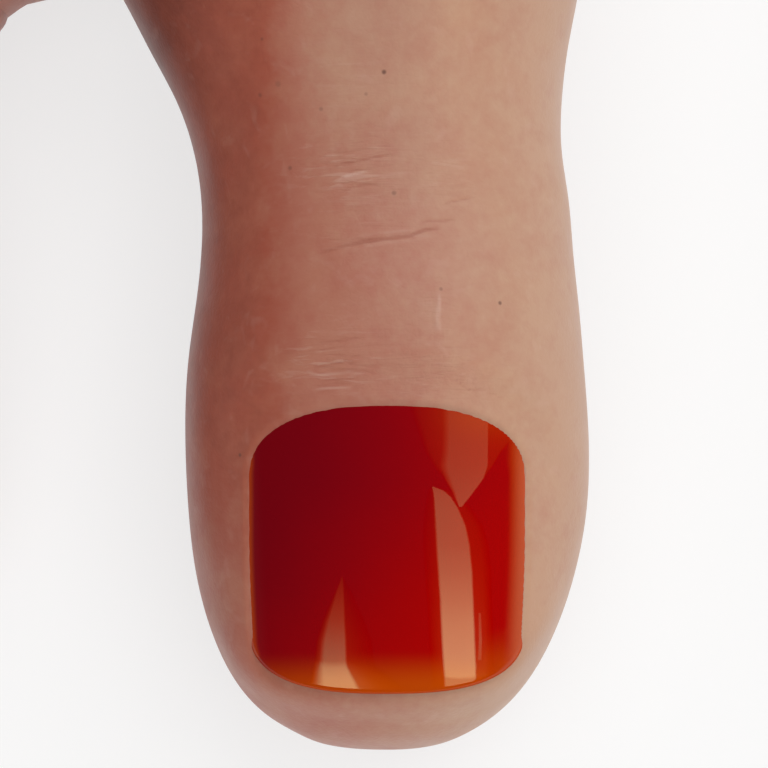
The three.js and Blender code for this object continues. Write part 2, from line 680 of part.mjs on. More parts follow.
const materials = {
  silicone: new THREE.MeshStandardMaterial({ color: 0xc69a82, roughness: 0.55, metalness: 0 }),
  polish: new THREE.MeshStandardMaterial({ color: 0xa3120a, roughness: 0.12, metalness: 0 }),
  nailBed: new THREE.MeshStandardMaterial({ color: 0xe2b9a6, roughness: 0.4, metalness: 0 }),
  bone: new THREE.MeshStandardMaterial({ color: 0xe9e4d8, roughness: 0.5, metalness: 0 }),
  steel: new THREE.MeshStandardMaterial({ color: 0xb9bcc0, roughness: 0.3, metalness: 1 }),
};

const foot = new THREE.Group();

function addPiece(group, name, solid, material) {
  const mesh = new THREE.Mesh(toGeometry(solid), material);
  mesh.name = name;
  group.add(mesh);
}

// Pieces of one toe, in a group turned and placed as the toe is
function addToe(toe) {
  const group = new THREE.Group();
  toe.matrix.decompose(group.position, group.quaternion, group.scale);
  foot.add(group);
  const nailPlace = seatNail(toe);
  const aboveGround = boxSolid(
    new THREE.Vector3(-farAway, -farAway, 0), new THREE.Vector3(farAway, farAway, farAway),
  );
  const form = toeForm(toe).intersect(aboveGround);
  const hollows = joined([
    moved(nailRoom(toe), nailPlace), tipBone(toe, clearance), hingeArm(toe, clearance),
    ...(toe.isBig ? [middleBone(clearance)] : []),
  ]);
  const skin = (from, to) => form
    .intersect(slice(from + clearance / 2, to - clearance / 2)).subtract(hollows);
  const rootBandFront = toe.length - toe.band / 2;
  const rootBandRear = toe.length + toe.band / 2;
  addPiece(group, toe.name + '_root_skin', skin(rootBandFront, rootBandRear), materials.silicone);
  if (toe.isBig) {
    const knuckleFront = knuckleBack - knuckleBandLength / 2;
    const knuckleRear = knuckleBack + knuckleBandLength / 2;
    addPiece(group, toe.name + '_middle_skin', skin(knuckleRear, rootBandFront), materials.silicone);
    addPiece(group, toe.name + '_knuckle_skin', skin(knuckleFront, knuckleRear), materials.silicone);
    addPiece(group, toe.name + '_tip_skin', skin(-overrun, knuckleFront), materials.silicone);
    addPiece(group, toe.name + '_middle_bone', middleBone(), materials.bone);
    addPiece(group, toe.name + '_knuckle_pin', hingePin(knuckleCentre, toe.bone), materials.steel);
  } else {
    addPiece(group, toe.name + '_tip_skin', skin(-overrun, rootBandFront), materials.silicone);
  }
  addPiece(group, toe.name + '_tip_bone', tipBone(toe), materials.bone);
  addPiece(group, toe.name + '_root_pin', hingePin(hingeCentre(toe), toe.bone), materials.steel);
  addPiece(group, toe.name + '_nail_bed', moved(nailBed(toe), nailPlace), materials.nailBed);
  addPiece(group, toe.name + '_nail', moved(nailPlate(toe.nail), nailPlace), materials.polish);
}

// The part of a toe's form between two distances behind its tip, in its place on the foot
const toePart = (toe, from, to, grow) => moved(toeForm(toe, grow).intersect(slice(from, to)), toe.matrix);

// The skin of the foot behind the toes' hinges, hollow for the core, the hinge plate and the cap
function footSkin() {
  const bandRear = (toe) => toe.length + toe.band / 2;
  const roots = toes.map((toe) => toePart(toe, bandRear(toe), farAway, 0));
  const toeRoom = toes.map((toe) => toePart(toe, -farAway, bandRear(toe) + clearance / 2, clearance));
  const between = boxSolid(
    new THREE.Vector3(-farAway, -farAway, 0), new THREE.Vector3(farAway, farAway, footHeight),
  );
  const ankles = [innerAnkle, outerAnkle].map(ankleBone);
  const outside = joined([bodyForm(bodyShares, 0, bodySides), ...roots, ...ankles]);
  return without(outside.intersect(between), [
    ...toeRoom,
    coreForm(clearance),
    hingePlate(clearance),
    plateScrewRoom,
    ankleDisc(capRim - clearance, capBottom - clearance, footHeight + overrun),
  ]);
}

toes.forEach(addToe);
addPiece(foot, 'foot_skin', footSkin(), materials.silicone);
addPiece(foot, 'core', without(coreForm(), [plateScrewRoom, capScrewRoom]), materials.bone);
const clevises = toes.flatMap((toe) => [
  moved(clevisGap(hingeCentre(toe), toe.bone), toe.matrix), moved(hingeHole(toe), toe.matrix),
]);
addPiece(foot, 'hinge_plate', without(hingePlate(), [...clevises, plateScrewRoom]), materials.bone);
const cap = ankleDisc(capRim, capBottom, footHeight);
addPiece(foot, 'ankle_cap', cap.subtract(capScrewRoom), materials.bone);
capScrewPlaces.forEach((place, i) => {
  addPiece(foot, `cap_screw_${i + 1}`, moved(screw(true), place), materials.steel);
});
plateScrewPlaces.forEach((place, i) => {
  addPiece(foot, `plate_screw_${i + 1}`, moved(screw(false), place), materials.steel);
});

// The box's middle goes over the origin.
foot.updateMatrixWorld(true);
const box = new THREE.Box3().setFromObject(foot);
const centre = box.getCenter(new THREE.Vector3());
foot.position.set(-centre.x, -centre.y, -box.min.z);

export default foot;
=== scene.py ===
import json
import math

import bmesh
import bpy
import numpy as np
from mathutils import Matrix, Vector
from mathutils.bvhtree import BVHTree


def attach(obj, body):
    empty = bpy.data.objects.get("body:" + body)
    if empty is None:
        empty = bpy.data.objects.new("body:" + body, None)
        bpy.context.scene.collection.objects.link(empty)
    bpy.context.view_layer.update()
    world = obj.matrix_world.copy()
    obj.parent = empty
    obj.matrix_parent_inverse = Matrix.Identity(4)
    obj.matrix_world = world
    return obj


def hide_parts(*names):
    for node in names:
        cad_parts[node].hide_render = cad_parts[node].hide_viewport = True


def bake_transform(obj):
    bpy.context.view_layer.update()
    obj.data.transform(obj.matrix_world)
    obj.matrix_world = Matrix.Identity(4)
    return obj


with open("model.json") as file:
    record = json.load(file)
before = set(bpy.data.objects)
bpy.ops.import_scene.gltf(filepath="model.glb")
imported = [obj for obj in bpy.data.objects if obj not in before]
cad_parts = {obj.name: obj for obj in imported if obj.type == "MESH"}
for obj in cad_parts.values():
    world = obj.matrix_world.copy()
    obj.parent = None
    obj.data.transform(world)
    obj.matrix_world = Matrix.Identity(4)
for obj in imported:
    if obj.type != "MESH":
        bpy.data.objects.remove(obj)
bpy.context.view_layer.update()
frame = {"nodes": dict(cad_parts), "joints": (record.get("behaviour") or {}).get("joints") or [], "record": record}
bpy.ops.object.select_all(action="DESELECT")

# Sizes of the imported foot, in millimetres
MM = 0.001
FOOT_LENGTH = 230
FOOT_HEIGHT = 96
CAP_RIM = 6
CAP_THICKNESS = 3
CLEARANCE = 0.3
UP = np.array((0.0, 0.0, 1.0))

# A big toe from above and from the side. Each row: place behind the tip as a share of the length from
# tip to hinge, half widths on the web side and the free side as shares of the half width, top and
# underside as shares of the height.
BIG_TOE_ROWS = [
    (0, 0, 0, 0.371, 0.371), (0.0077, 0.323, 0.27, 0.515, 0.238), (0.022, 0.466, 0.414, 0.583, 0.18),
    (0.043, 0.61, 0.549, 0.665, 0.126), (0.0698, 0.726, 0.667, 0.743, 0.087),
    (0.1282, 0.865, 0.823, 0.801, 0.039), (0.2133, 0.968, 0.953, 0.862, 0.005),
    (0.3003, 1.009, 1.016, 0.912, -0.015), (0.3845, 1.022, 1.021, 0.966, -0.005),
    (0.4783, 1.004, 0.994, 1, 0.034), (0.5433, 0.968, 0.971, 1, 0.073),
    (0.6083, 0.941, 0.944, 0.985, 0.121), (0.6743, 0.942, 0.921, 0.99, 0.146),
    (0.7394, 0.984, 0.886, 1.01, 0.15), (0.8044, 1.075, 0.89, 1.044, 0.146),
    (0.8695, 1.212, 0.922, 1.087, 0.126), (0.9345, 1.35, 0.972, 1.146, 0.107),
    (0.9996, 1.49, 1.01, 1.19, 0.09), (1.0866, 1.56, 1.04, 1.215, 0.09), (1.2607, 1.4, 0.95, 1.15, 0.12),
]
LESSER_TOE_ROWS = [
    (0, 0, 0, 0.43, 0.43), (0.012, 0.36, 0.36, 0.59, 0.28), (0.04, 0.57, 0.57, 0.68, 0.19),
    (0.09, 0.77, 0.77, 0.77, 0.1), (0.18, 0.93, 0.93, 0.86, 0.02), (0.3, 1, 1, 0.94, -0.025),
    (0.42, 1, 1, 1, 0.01), (0.54, 0.96, 0.96, 1.04, 0.07), (0.68, 0.93, 0.93, 1.05, 0.16),
    (0.84, 0.94, 0.94, 1.045, 0.2), (1, 0.98, 0.98, 1.07, 0.17), (1.18, 1, 1, 1.12, 0.14),
    (1.4, 0.98, 0.98, 1.18, 0.16), (1.9, 0.8, 0.8, 1.2, 0.35),
]
# Where a toe's widest line lies, how square it is above and below, and how much further the drawn big
# toe's tip reaches and over what length that fades
TOE_WAIST = 0.47
TOE_CROWN_POWER = 2.1
TOE_SOLE_POWER = 2.4
TIP_REACH = 0.42
TIP_FADE = 13
# How far behind the tip the first ring of a toe's skin lies
TIP_START = 0.004

# Toes. Behind the hinge lie the start of the foot's own stub and the end of the toe's skin on it, and
# sunk is the share of the width over which that stub is drawn in. A tendon has a half width and a height.
BIG_TOE = {
    "width": 22.8, "height": 20.6, "rows": BIG_TOE_ROWS, "hinge_height": 12.4, "stub": 5.5, "meet": 9,
    "sunk": 0.9, "tendon": (3.2, 0.85), "bend_height": 10, "plate_steps": 90,
}
LESSER_TOE = {
    "rows": LESSER_TOE_ROWS, "hinge_height": 8.4, "stub": 3, "meet": 6,
    "sunk": 0.62, "tendon": (2.4, 0.6), "bend_height": 8, "plate_steps": 44,
}
# Each lesser toe's width and height, and its nail's width, length and bend across
LESSER_TOES = {
    "second_toe": (13.6, 13.8, 8.6, 8.8, 6.5), "third_toe": (12.8, 13.2, 8, 8, 6.1),
    "fourth_toe": (12.4, 12.8, 7.6, 7.4, 5.9), "little_toe": (12.6, 12.4, 7.2, 6.6, 5.6),
}
# Where the skins part and bend, behind the tip or on both sides of a hinge
KNUCKLE_BACK, KNUCKLE_REACH = 27.5, 4.5
BIG_ROOT_FRONT, BIG_ROOT_BEND_BACK = 42.3, 54.8
LESSER_BEND_REACH = 4
SLEEVE_REACH = 8
BIG_SLEEVE_REACH = 12

# Nails: the plate's size, how far its root runs under the cuticle, its bends across and along, and how
# high and how far the skin folds up round it
BIG_NAIL = {
    "width": 15.5, "length": 16.2, "thickness": 0.8, "root": 2.2, "across": 12.5, "along": 60,
    "fold": 0.2, "reach": 3.4,
}
LESSER_NAIL = {"thickness": 0.6, "root": 1.3, "along": 26, "fold": 0.3, "reach": 1.7}
# Shares of a nail's length that its cuticle's arch and its free corners take, and of its width that is
# left at the free edge
ARCH_SHARE = 0.244
CORNER_SHARE = 0.198
FREE_WIDTH_SHARE = 0.965
# How far in front of the plate's arch the skin's edge lies, as a share of the length
CUTICLE_START = 0.009
# How square the outline's rounded corners are, and up to what share of its radius the bend is followed
ROUNDING_POWER = 2.5
BEND_LIMIT = 0.93

# The foot behind the toes, as slices that swing from upright at the ball to level at the ankle. Each
# row: top point (across, back, up), bottom point (across, back, up), inner and outer edge, height of
# the widest line, how square it is on top, below inside and below outside, and how much further back
# its outer edge lies.
BODY_ROWS = [
    (0.02, 0.172, 0.12, 0.02, 0.172, 0.066, 0.08, -0.05, 0.5, 2, 2, 2, 0.075),
    (0, 0.181, 0.15, 0, 0.181, 0.048, 0.21, -0.55, 0.5, 2, 2, 2, 0.075),
    (0.1, 0.192, 0.182, 0, 0.192, 0.035, 0.34, -0.86, 0.5, 2, 2.2, 2.2, 0.075),
    (0.3, 0.209, 0.225, 0, 0.209, 0.02, 0.84, -0.97, 0.48, 2, 2.3, 2.3, 0.072),
    (0.42, 0.23, 0.262, 0, 0.23, 0.006, 1, -1.01, 0.45, 2, 2.3, 2.3, 0.066),
    (0.44, 0.254, 0.3, 0, 0.254, -0.004, 1.035, -1.03, 0.43, 2, 2.4, 2.4, 0.058),
    (0.43, 0.28, 0.335, 0, 0.28, -0.007, 1.045, -1.04, 0.41, 2, 2.5, 2.5, 0.046),
    (0.42, 0.318, 0.387, 0, 0.318, -0.006, 1.02, -1.04, 0.38, 1.95, 2.5, 2.6, 0.03),
    (0.38, 0.376, 0.466, -0.1, 0.376, 0.004, 0.93, -1.02, 0.36, 1.9, 2.2, 2.7, 0.012),
    (0.34, 0.439, 0.552, -0.3, 0.452, 0.03, 0.82, -0.96, 0.36, 1.9, 1.8, 2.7, 0),
    (0.29, 0.491, 0.641, -0.38, 0.548, 0.05, 0.74, -0.87, 0.38, 1.9, 1.7, 2.6, 0),
    (0.24, 0.539, 0.729, -0.3, 0.661, 0.027, 0.69, -0.79, 0.4, 1.95, 1.9, 2.5, 0),
    (0.18, 0.576, 0.813, -0.08, 0.787, -0.006, 0.665, -0.72, 0.42, 2, 2.3, 2.4, 0),
    (0.13, 0.597, 0.876, 0, 0.895, -0.004, 0.65, -0.68, 0.44, 2, 2.3, 2.3, 0),
    (0.11, 0.606, 0.917, 0, 0.952, 0.062, 0.643, -0.665, 0.45, 2, 2.2, 2.2, 0),
    (0.09, 0.612, 0.946, 0, 0.984, 0.16, 0.63, -0.645, 0.47, 2, 2.1, 2.1, 0),
    (0.07, 0.615, 0.964, 0, 0.998, 0.27, 0.615, -0.625, 0.48, 2, 2, 2, 0),
    (0.05, 0.617, 0.978, 0, 1, 0.39, 0.6, -0.61, 0.5, 2, 2, 2, 0),
    (0, 0.617, 0.992, 0, 0.968, 0.64, 0.595, -0.6, 0.52, 2, 1.9, 1.9, 0),
    (0, 0.615, 1, 0, 0.94, 1, 0.6, -0.6, 0.52, 2.1, 1.9, 1.9, 0),
    (0, 0.613, 1.05, 0, 0.938, 1.05, 0.6, -0.6, 0.52, 2.1, 1.9, 1.9, 0),
]
SWEEP_START = 0.1
# Ankle bones: place behind the tip, height, radii, how far each stands out, and on which side
ANKLES = [(163, 72, (11, 14, 13), 0, 1), (172, 62, (11, 12, 14), 3.2, -1)]
ANKLE_PAINT_REACH = 15


# Curves and grids

def smooth_step(value, low, high):
    share = np.clip((value - low) / (high - low), 0, 1)
    return share * share * (3 - 2 * share)


def mix(a, b, share):
    return a + (b - a) * share


def bell(value, middle, reach):
    """1 at a value, and less on both sides of it."""
    return np.exp(-((value - middle) / reach) ** 2)


def fading_ends(share, reach):
    """0 at both ends of a line and 1 between, from shares of its length."""
    return smooth_step(share, 0, reach) * smooth_step(1 - share, 0, reach)


def rounded_off(share):
    """From 1 down to 0, like the side of a square's rounded corner."""
    return (1 - share ** ROUNDING_POWER) ** (1 / ROUNDING_POWER)


def close_at_ends(count):
    """Shares from 0 to 1 that lie closer together at both ends."""
    return (1 - np.cos(np.linspace(0, np.pi, count))) / 2


def unit(vectors):
    return vectors / np.maximum(np.linalg.norm(vectors, axis=-1, keepdims=True), 1e-12)


def run_along(lines):
    """How far each point lies along its line from the first, as the mean of several lines."""
    steps = np.linalg.norm(np.diff(lines, axis=0), axis=-1).reshape(len(lines) - 1, -1)
    return np.concatenate([[0], np.cumsum(steps.mean(axis=1))])


def to_line(points, line):
    """How far points lie from a drawn line, how far along it from 0 to 1, and the nearest place on it."""
    line = np.array(line, float)
    gone = run_along(line)
    best, along = np.full(points.shape[:-1], np.inf), np.zeros(points.shape[:-1])
    nearest = np.zeros(points.shape)
    for a, b, start, end in zip(line, line[1:], gone, gone[1:]):
        share = np.clip((points - a) @ (b - a) / max((b - a) @ (b - a), 1e-12), 0, 1)
        place = a + share[..., None] * (b - a)
        away = np.linalg.norm(points - place, axis=-1)
        closer = away < best
        best = np.where(closer, away, best)
        along = np.where(closer, mix(start, end, share) / gone[-1], along)
        nearest = np.where(closer[..., None], place, nearest)
    return best, along, nearest


def natural_spline(places, values, at):
    """Values at some places along a smooth curve through rows of numbers."""
    places, values = np.asarray(places, float), np.asarray(values, float)
    step = np.diff(places)
    slope = np.diff(values, axis=0) / step[:, None]
    count = len(places)
    system = np.eye(count)
    right = np.zeros_like(values)
    for i in range(1, count - 1):
        system[i, i - 1:i + 2] = step[i - 1], 2 * (step[i - 1] + step[i]), step[i]
        right[i] = 6 * (slope[i] - slope[i - 1])
    bend = np.linalg.solve(system, right)
    at = np.clip(at, places[0], places[-1])
    k = np.clip(np.searchsorted(places, at) - 1, 0, count - 2)
    before, after, h = (at - places[k])[:, None], (places[k + 1] - at)[:, None], step[k][:, None]
    return (
        (bend[k] * after ** 3 + bend[k + 1] * before ** 3) / (6 * h)
        + (values[k] / h - bend[k] * h / 6) * after + (values[k + 1] / h - bend[k + 1] * h / 6) * before
    )


def quarter_rings(top, bottom, inner, outer, waist, powers, angles):
    """Rings of four superellipse quarters, as (x, share of the height) for each row and angle."""
    across, along = np.sin(angles)[None, :], np.cos(angles)[None, :]
    upper, inside = along >= 0, across >= 0
    top_power, inner_power, outer_power = (p[:, None] for p in powers)
    power = np.where(upper, top_power, np.where(inside, inner_power, outer_power))
    start = np.where(upper, top[:, None], bottom[:, None])
    edge = np.where(inside, inner[:, None], outer[:, None])
    x = start + (edge - start) * np.abs(across) ** (2 / power)
    reach = np.where(upper, 1 - waist[:, None], -waist[:, None])
    return x, waist[:, None] + reach * np.abs(along) ** (2 / power)


def even_angles(count, crown_share):
    """Angles round a ring from the sole's middle, with the given share of them over the top half."""
    lower = count - round(count * crown_share)
    top = np.linspace(-np.pi / 2, np.pi / 2, count - lower, endpoint=False)
    sole = np.linspace(np.pi / 2, 1.5 * np.pi, lower, endpoint=False)
    return np.concatenate([top, sole])


def grid_normals(grid):
    """Outward normals of a tube given as (rings, sides, 3)."""
    around = np.roll(grid, -1, axis=1) - np.roll(grid, 1, axis=1)
    return unit(np.cross(around, np.gradient(grid, axis=0)))


def mirrored_outline(half, y):
    """A closed outline in (x, y) from its half widths, forward on one side and back on the other."""
    side = np.stack([half, y], 1)
    return np.concatenate([side, side[-2:0:-1] * (-1, 1)])


# Meshes

def mesh_object(name, points, faces):
    """A new object from points in millimetres of the row frame."""
    mesh = bpy.data.meshes.new(name)
    mesh.from_pydata((np.asarray(points) * MM).tolist(), [], faces)
    mesh.update()
    mesh.shade_smooth()
    piece = bpy.data.objects.new(name, mesh)
    bpy.context.scene.collection.objects.link(piece)
    return piece


def tube_object(name, grid, *tips):
    """A tube of rings, closed by a fan to a tip in front of it and one behind it, where these are given."""
    rings, sides = grid.shape[:2]
    a = np.arange((rings - 1) * sides).reshape(rings - 1, sides)
    b = np.roll(a, -1, axis=1)
    faces = np.stack([a, b, b + sides, a + sides], axis=-1).reshape(-1, 4).tolist()
    ring = [(i, (i + 1) % sides) for i in range(sides)]
    if tips:
        faces += [(i, rings * sides, j) for i, j in ring]
    if len(tips) > 1:
        last = (rings - 1) * sides
        faces += [(last + j, rings * sides + 1, last + i) for i, j in ring]
    return mesh_object(name, np.vstack([grid.reshape(-1, 3), *tips]), faces)


def vectors_of(collection, key):
    flat = np.empty(len(collection) * 3)
    collection.foreach_get(key, flat)
    return flat.reshape(-1, 3)


def points_of(piece):
    return vectors_of(piece.data.vertices, "co") / MM


def put_points(piece, points):
    piece.data.vertices.foreach_set("co", (points * MM).ravel())
    piece.data.update()


def put_attribute(piece, name, values, kind="FLOAT", key="value"):
    layer = piece.data.attributes.new(name, kind, "POINT")
    layer.data.foreach_set(key, np.asarray(values, np.float32).ravel())


def tree_of(piece):
    faces = [tuple(p.vertices) for p in piece.data.polygons]
    return BVHTree.FromPolygons(points_of(piece).tolist(), faces)


def face_outwards(piece):
    mesh = bmesh.new()
    mesh.from_mesh(piece.data)
    bmesh.ops.recalc_face_normals(mesh, faces=mesh.faces)
    mesh.to_mesh(piece.data)
    mesh.free()
    piece.data.shade_smooth()


# Toes, nails and the camera, each with directions of its own

def joint(name):
    return next(j for j in frame["joints"] if j["name"] == name)


class Axes:
    """An origin and three directions, in millimetres."""

    def __init__(self, origin, *axes):
        self.origin, self.axes = np.array(origin, float), np.array(axes, float)

    def place(self, points):
        return self.origin + np.asarray(points, float) @ self.axes

    def local(self, points):
        return (np.asarray(points, float) - self.origin) @ self.axes.T


class Toe(Axes):
    """A toe's own frame: x across, y back from the tip, z up, in millimetres from the tip on the floor."""

    def __init__(self, name, sizes):
        self.name = name
        vars(self).update(sizes)
        hinge = joint(name + "_root")
        across = np.array(hinge["axis"], float)
        back = np.cross(UP, across)
        self.hinge = np.array(hinge["pos_m"], float) / MM
        skin = points_of(frame["nodes"][name + "_tip_skin"])
        self.length = ((self.hinge - skin) @ back).max()
        self.stub_start = self.length + self.stub
        self.meet_end = self.length + self.meet
        super().__init__(self.hinge - self.length * back - self.hinge_height * UP, across, back, UP)

    def surface(self, backs, angles):
        """Points of the toe's form at distances behind the tip and angles round it, in the row frame."""
        rows = np.array(self.rows)
        places = np.sqrt(np.maximum(backs, 0) / self.length)
        web, free, top, bottom = natural_spline(np.sqrt(rows[:, 0]), rows[:, 1:], places).T
        half = self.width / 2
        level = np.zeros_like(web)
        powers = [level + TOE_CROWN_POWER, level + TOE_SOLE_POWER, level + TOE_SOLE_POWER]
        x, share = quarter_rings(level, level, free * half, -web * half, level + TOE_WAIST, powers, angles)
        z = mix(bottom[:, None], top[:, None], share) * self.height
        ahead = TIP_REACH * self.width / BIG_TOE["width"] * (1 - smooth_step(backs, 0, TIP_FADE))
        return self.place(np.stack([x, np.broadcast_to((backs - ahead)[:, None], x.shape), z], axis=-1))

    def even_backs(self, end, count):
        """Distances behind the tip that step evenly over the surface, from close to the tip on."""
        dense = np.linspace(math.sqrt(TIP_START), math.sqrt(end), 1200) ** 2
        gone = run_along(self.surface(dense, np.linspace(0, 2 * np.pi, 12, endpoint=False)))
        return np.interp(np.linspace(0, gone[-1], count), gone, dense)

    def bend_place(self, back):
        """Where the toe's skin begins or ends to bend, in metres."""
        return self.place((0, back, self.bend_height)) * MM


class Nail(Axes):
    """A nail's own frame: x across, y forward along its slide, z out of it, from its cuticle point."""

    def __init__(self, toe, sizes):
        vars(self).update(sizes)
        forward = np.array(joint(toe.name + "_nail_slide")["axis"], float)
        side = -toe.axes[0]
        axes = np.array((side, forward, np.cross(side, forward)))
        across, front, out = axes @ points_of(frame["nodes"][toe.name + "_nail"]).T
        tip = (np.abs(across - across[front.argmax()]) < 0.2) & (front > front.max() - 0.1)
        top = out[tip].max() + self.drop(0, self.length)
        middle = (across.max() + across.min()) / 2
        super().__init__(np.array((middle, front.max() - self.length, top)) @ axes, *axes)

    def drop(self, x, y):
        """How far the bent plate has fallen away at a place on it."""
        x = np.clip(np.abs(x), 0, self.across * BEND_LIMIT)
        return self.across - np.sqrt(self.across ** 2 - x ** 2) + (y + self.root) ** 2 / (2 * self.along)

    def upright(self, x, y):
        """The direction that the plate faces at a place on it."""
        slope = x / math.sqrt(self.across ** 2 - x ** 2), (y + self.root) / self.along, 1
        return unit(np.array(slope) @ self.axes)

    def half_width(self, y):
        """Half width of the shown plate at distances in front of the cuticle."""
        share = np.clip(y / self.length, 0, 1)
        arch = np.clip(1 - share / ARCH_SHARE, 0, 1)
        corner = np.clip((share - 1 + CORNER_SHARE) / CORNER_SHARE, 0, 1)
        taper = mix(1, FREE_WIDTH_SHARE, smooth_step(share, 0.45, 1))
        return self.width / 2 * taper * rounded_off(arch) * rounded_off(corner)

    def whole_half_width(self, y):
        """Half width of the whole plate, whose root runs under the cuticle in an arch of its own."""
        arch_end = ARCH_SHARE * self.length
        arch = np.clip((arch_end - y) / (arch_end + self.root), 0, 1)
        return self.half_width(np.maximum(y, arch_end)) * rounded_off(arch)

    def edge_distance(self, x, y):
        """Distance to the shown outline, less than 0 inside it, and the place along of the nearest edge."""
        share = close_at_ends(90)
        half, forward = self.half_width(share * self.length), mix(CUTICLE_START, 1, share) * self.length
        line = mirrored_outline(half, forward)
        away, _, nearest = to_line(np.stack([x, y], axis=-1), np.vstack([line, line[:1]]))
        inside = np.abs(x) < np.interp(y, forward, half, 0, 0)
        return np.where(inside, -away, away), nearest[..., 1]


big_toe = Toe("big_toe", BIG_TOE)
big_nail = Nail(big_toe, BIG_NAIL)
toes, nails = [big_toe], [big_nail]
for name, (width, height, nail_width, nail_length, bend) in LESSER_TOES.items():
    toes.append(Toe(name, {**LESSER_TOE, "width": width, "height": height}))
    nails.append(Nail(toes[-1], {**LESSER_NAIL, "width": nail_width, "length": nail_length, "across": bend}))
front_y = big_toe.origin[1]
inner_side = big_toe.origin[0] + big_toe.width / 2
outer_side = toes[-1].origin[0] - toes[-1].width / 2
half_breadth = (inner_side - outer_side) / 2
midline = (inner_side + outer_side) / 2

# Camera: nearly straight down on the big toe, from a little in front of its tip
PIXELS = 768
PIXEL_SIZE = 0.0564
CAMERA_DISTANCE = 380
CAMERA_TILT = math.radians(80)
SENSOR = 36
AIM = (-0.17, 18.86, 19.0)
backward = np.array((0, -math.cos(CAMERA_TILT), math.sin(CAMERA_TILT)))
rightward = np.array((1.0, 0, 0))
upward = np.cross(backward, rightward)
view = Axes(big_toe.place(AIM) + backward * CAMERA_DISTANCE, rightward, upward, backward)


def pixels_of(points):
    """Where points in millimetres fall in the photograph's 768 pixels."""
    across, rise, behind = np.moveaxis(view.local(points), -1, 0)
    scale = CAMERA_DISTANCE / PIXEL_SIZE / -behind
    return PIXELS / 2 + across * scale, PIXELS / 2 - rise * scale


def pixel_ray(px, py):
    """The direction in which the camera sees a pixel of the photograph."""
    across, rise = (np.array((px, PIXELS - py)) - PIXELS / 2) * PIXEL_SIZE / CAMERA_DISTANCE
    return unit(np.array((across, rise, -1)) @ view.axes)


def add_camera():
    data = bpy.data.cameras.new("camera")
    data.sensor_width = SENSOR
    data.lens = SENSOR * CAMERA_DISTANCE / (PIXELS * PIXEL_SIZE)
    data.clip_start = 0.01
    camera = bpy.data.objects.new("camera", data)
    turned = Matrix(view.axes.T.tolist()).to_4x4()
    camera.matrix_world = Matrix.Translation(Vector(view.origin * MM)) @ turned
    bpy.context.scene.collection.objects.link(camera)
    bpy.context.scene.camera = camera


# Toe skin: the form, the fold round the nail and the creases

# Rings and sides of the toes' skins, and the share of the sides that lies over the top half
BIG_RINGS, BIG_SIDES, BIG_CROWN_SHARE, ROOT_RINGS = 320, 296, 0.66, 60
LESSER_RINGS, LESSER_SIDES, LESSER_CROWN_SHARE = 130, 120, 0.64
# How near the foot's skin has to be for a toe's to lie on it, how far that then goes under it at its end,
# and how far it sinks where there is none
FOOT_REACH, TUCK_DEPTH, UNMET_DEPTH = 2.5, 0.8, 0.6
# How far the skin dips under a nail's edge, further in and at the free edge, in thicknesses of the plate,
# and over which distances from the edge it does so
EDGE_DIP, DEEP_DIP, FREE_DIP = 1.25, 2.2, 1.35
EDGE_BAND, DEEP_BAND = (-0.5, 0.08), (-1.15, -0.9)
# Where the free edge's form takes over, in widths of the nail back from that edge, and between which
# distances the skin settles onto the toe's form, each beside the nail and ahead of it, in reaches of the fold
FREE_BAND = (0.22, 0.02)
SETTLE_BANDS = ((0.25, -0.1), (1.0, 0.75))
# How far below the nail's bend the fold fades out and where none is made, in radii of the bend
FADE_BELOW, NONE_BELOW = (-0.26, -0.08), -0.95


def lay_fold(points, nail):
    """Moves a toe's skin under the nail plate and up into the fold round it."""
    local = nail.local(points)
    x, y, z = np.moveaxis(local, -1, 0)
    margin = nail.reach + 1
    near = (np.abs(x) < nail.width / 2 + margin) & (y > -margin) & (y < nail.length + margin)
    near &= z > nail.across * NONE_BELOW
    away, along = np.zeros(x.shape), np.zeros(x.shape)
    away[near], along[near] = nail.edge_distance(x[near], y[near])
    top = -nail.drop(x, y)
    free = smooth_step(along, *(nail.length - share * nail.width for share in FREE_BAND))
    deep = smooth_step(away, *DEEP_BAND)
    inner = -nail.thickness * mix(DEEP_DIP, mix(EDGE_DIP, 0, smooth_step(away, *EDGE_BAND)), deep)
    lip = nail.fold * smooth_step(away, 0, 0.75 * nail.fold + 0.35) + inner
    wanted = mix(lip, -nail.thickness * mix(DEEP_DIP, FREE_DIP, deep), free)
    base = z - top
    settle = smooth_step(away, *(mix(beside, ahead, free) * nail.reach for beside, ahead in SETTLE_BANDS))
    settle = 1 - (1 - settle) * smooth_step(base, *(share * nail.across for share in FADE_BELOW))
    local[..., 2] = np.where(near, top + mix(wanted, base, settle), z)
    return nail.place(local)


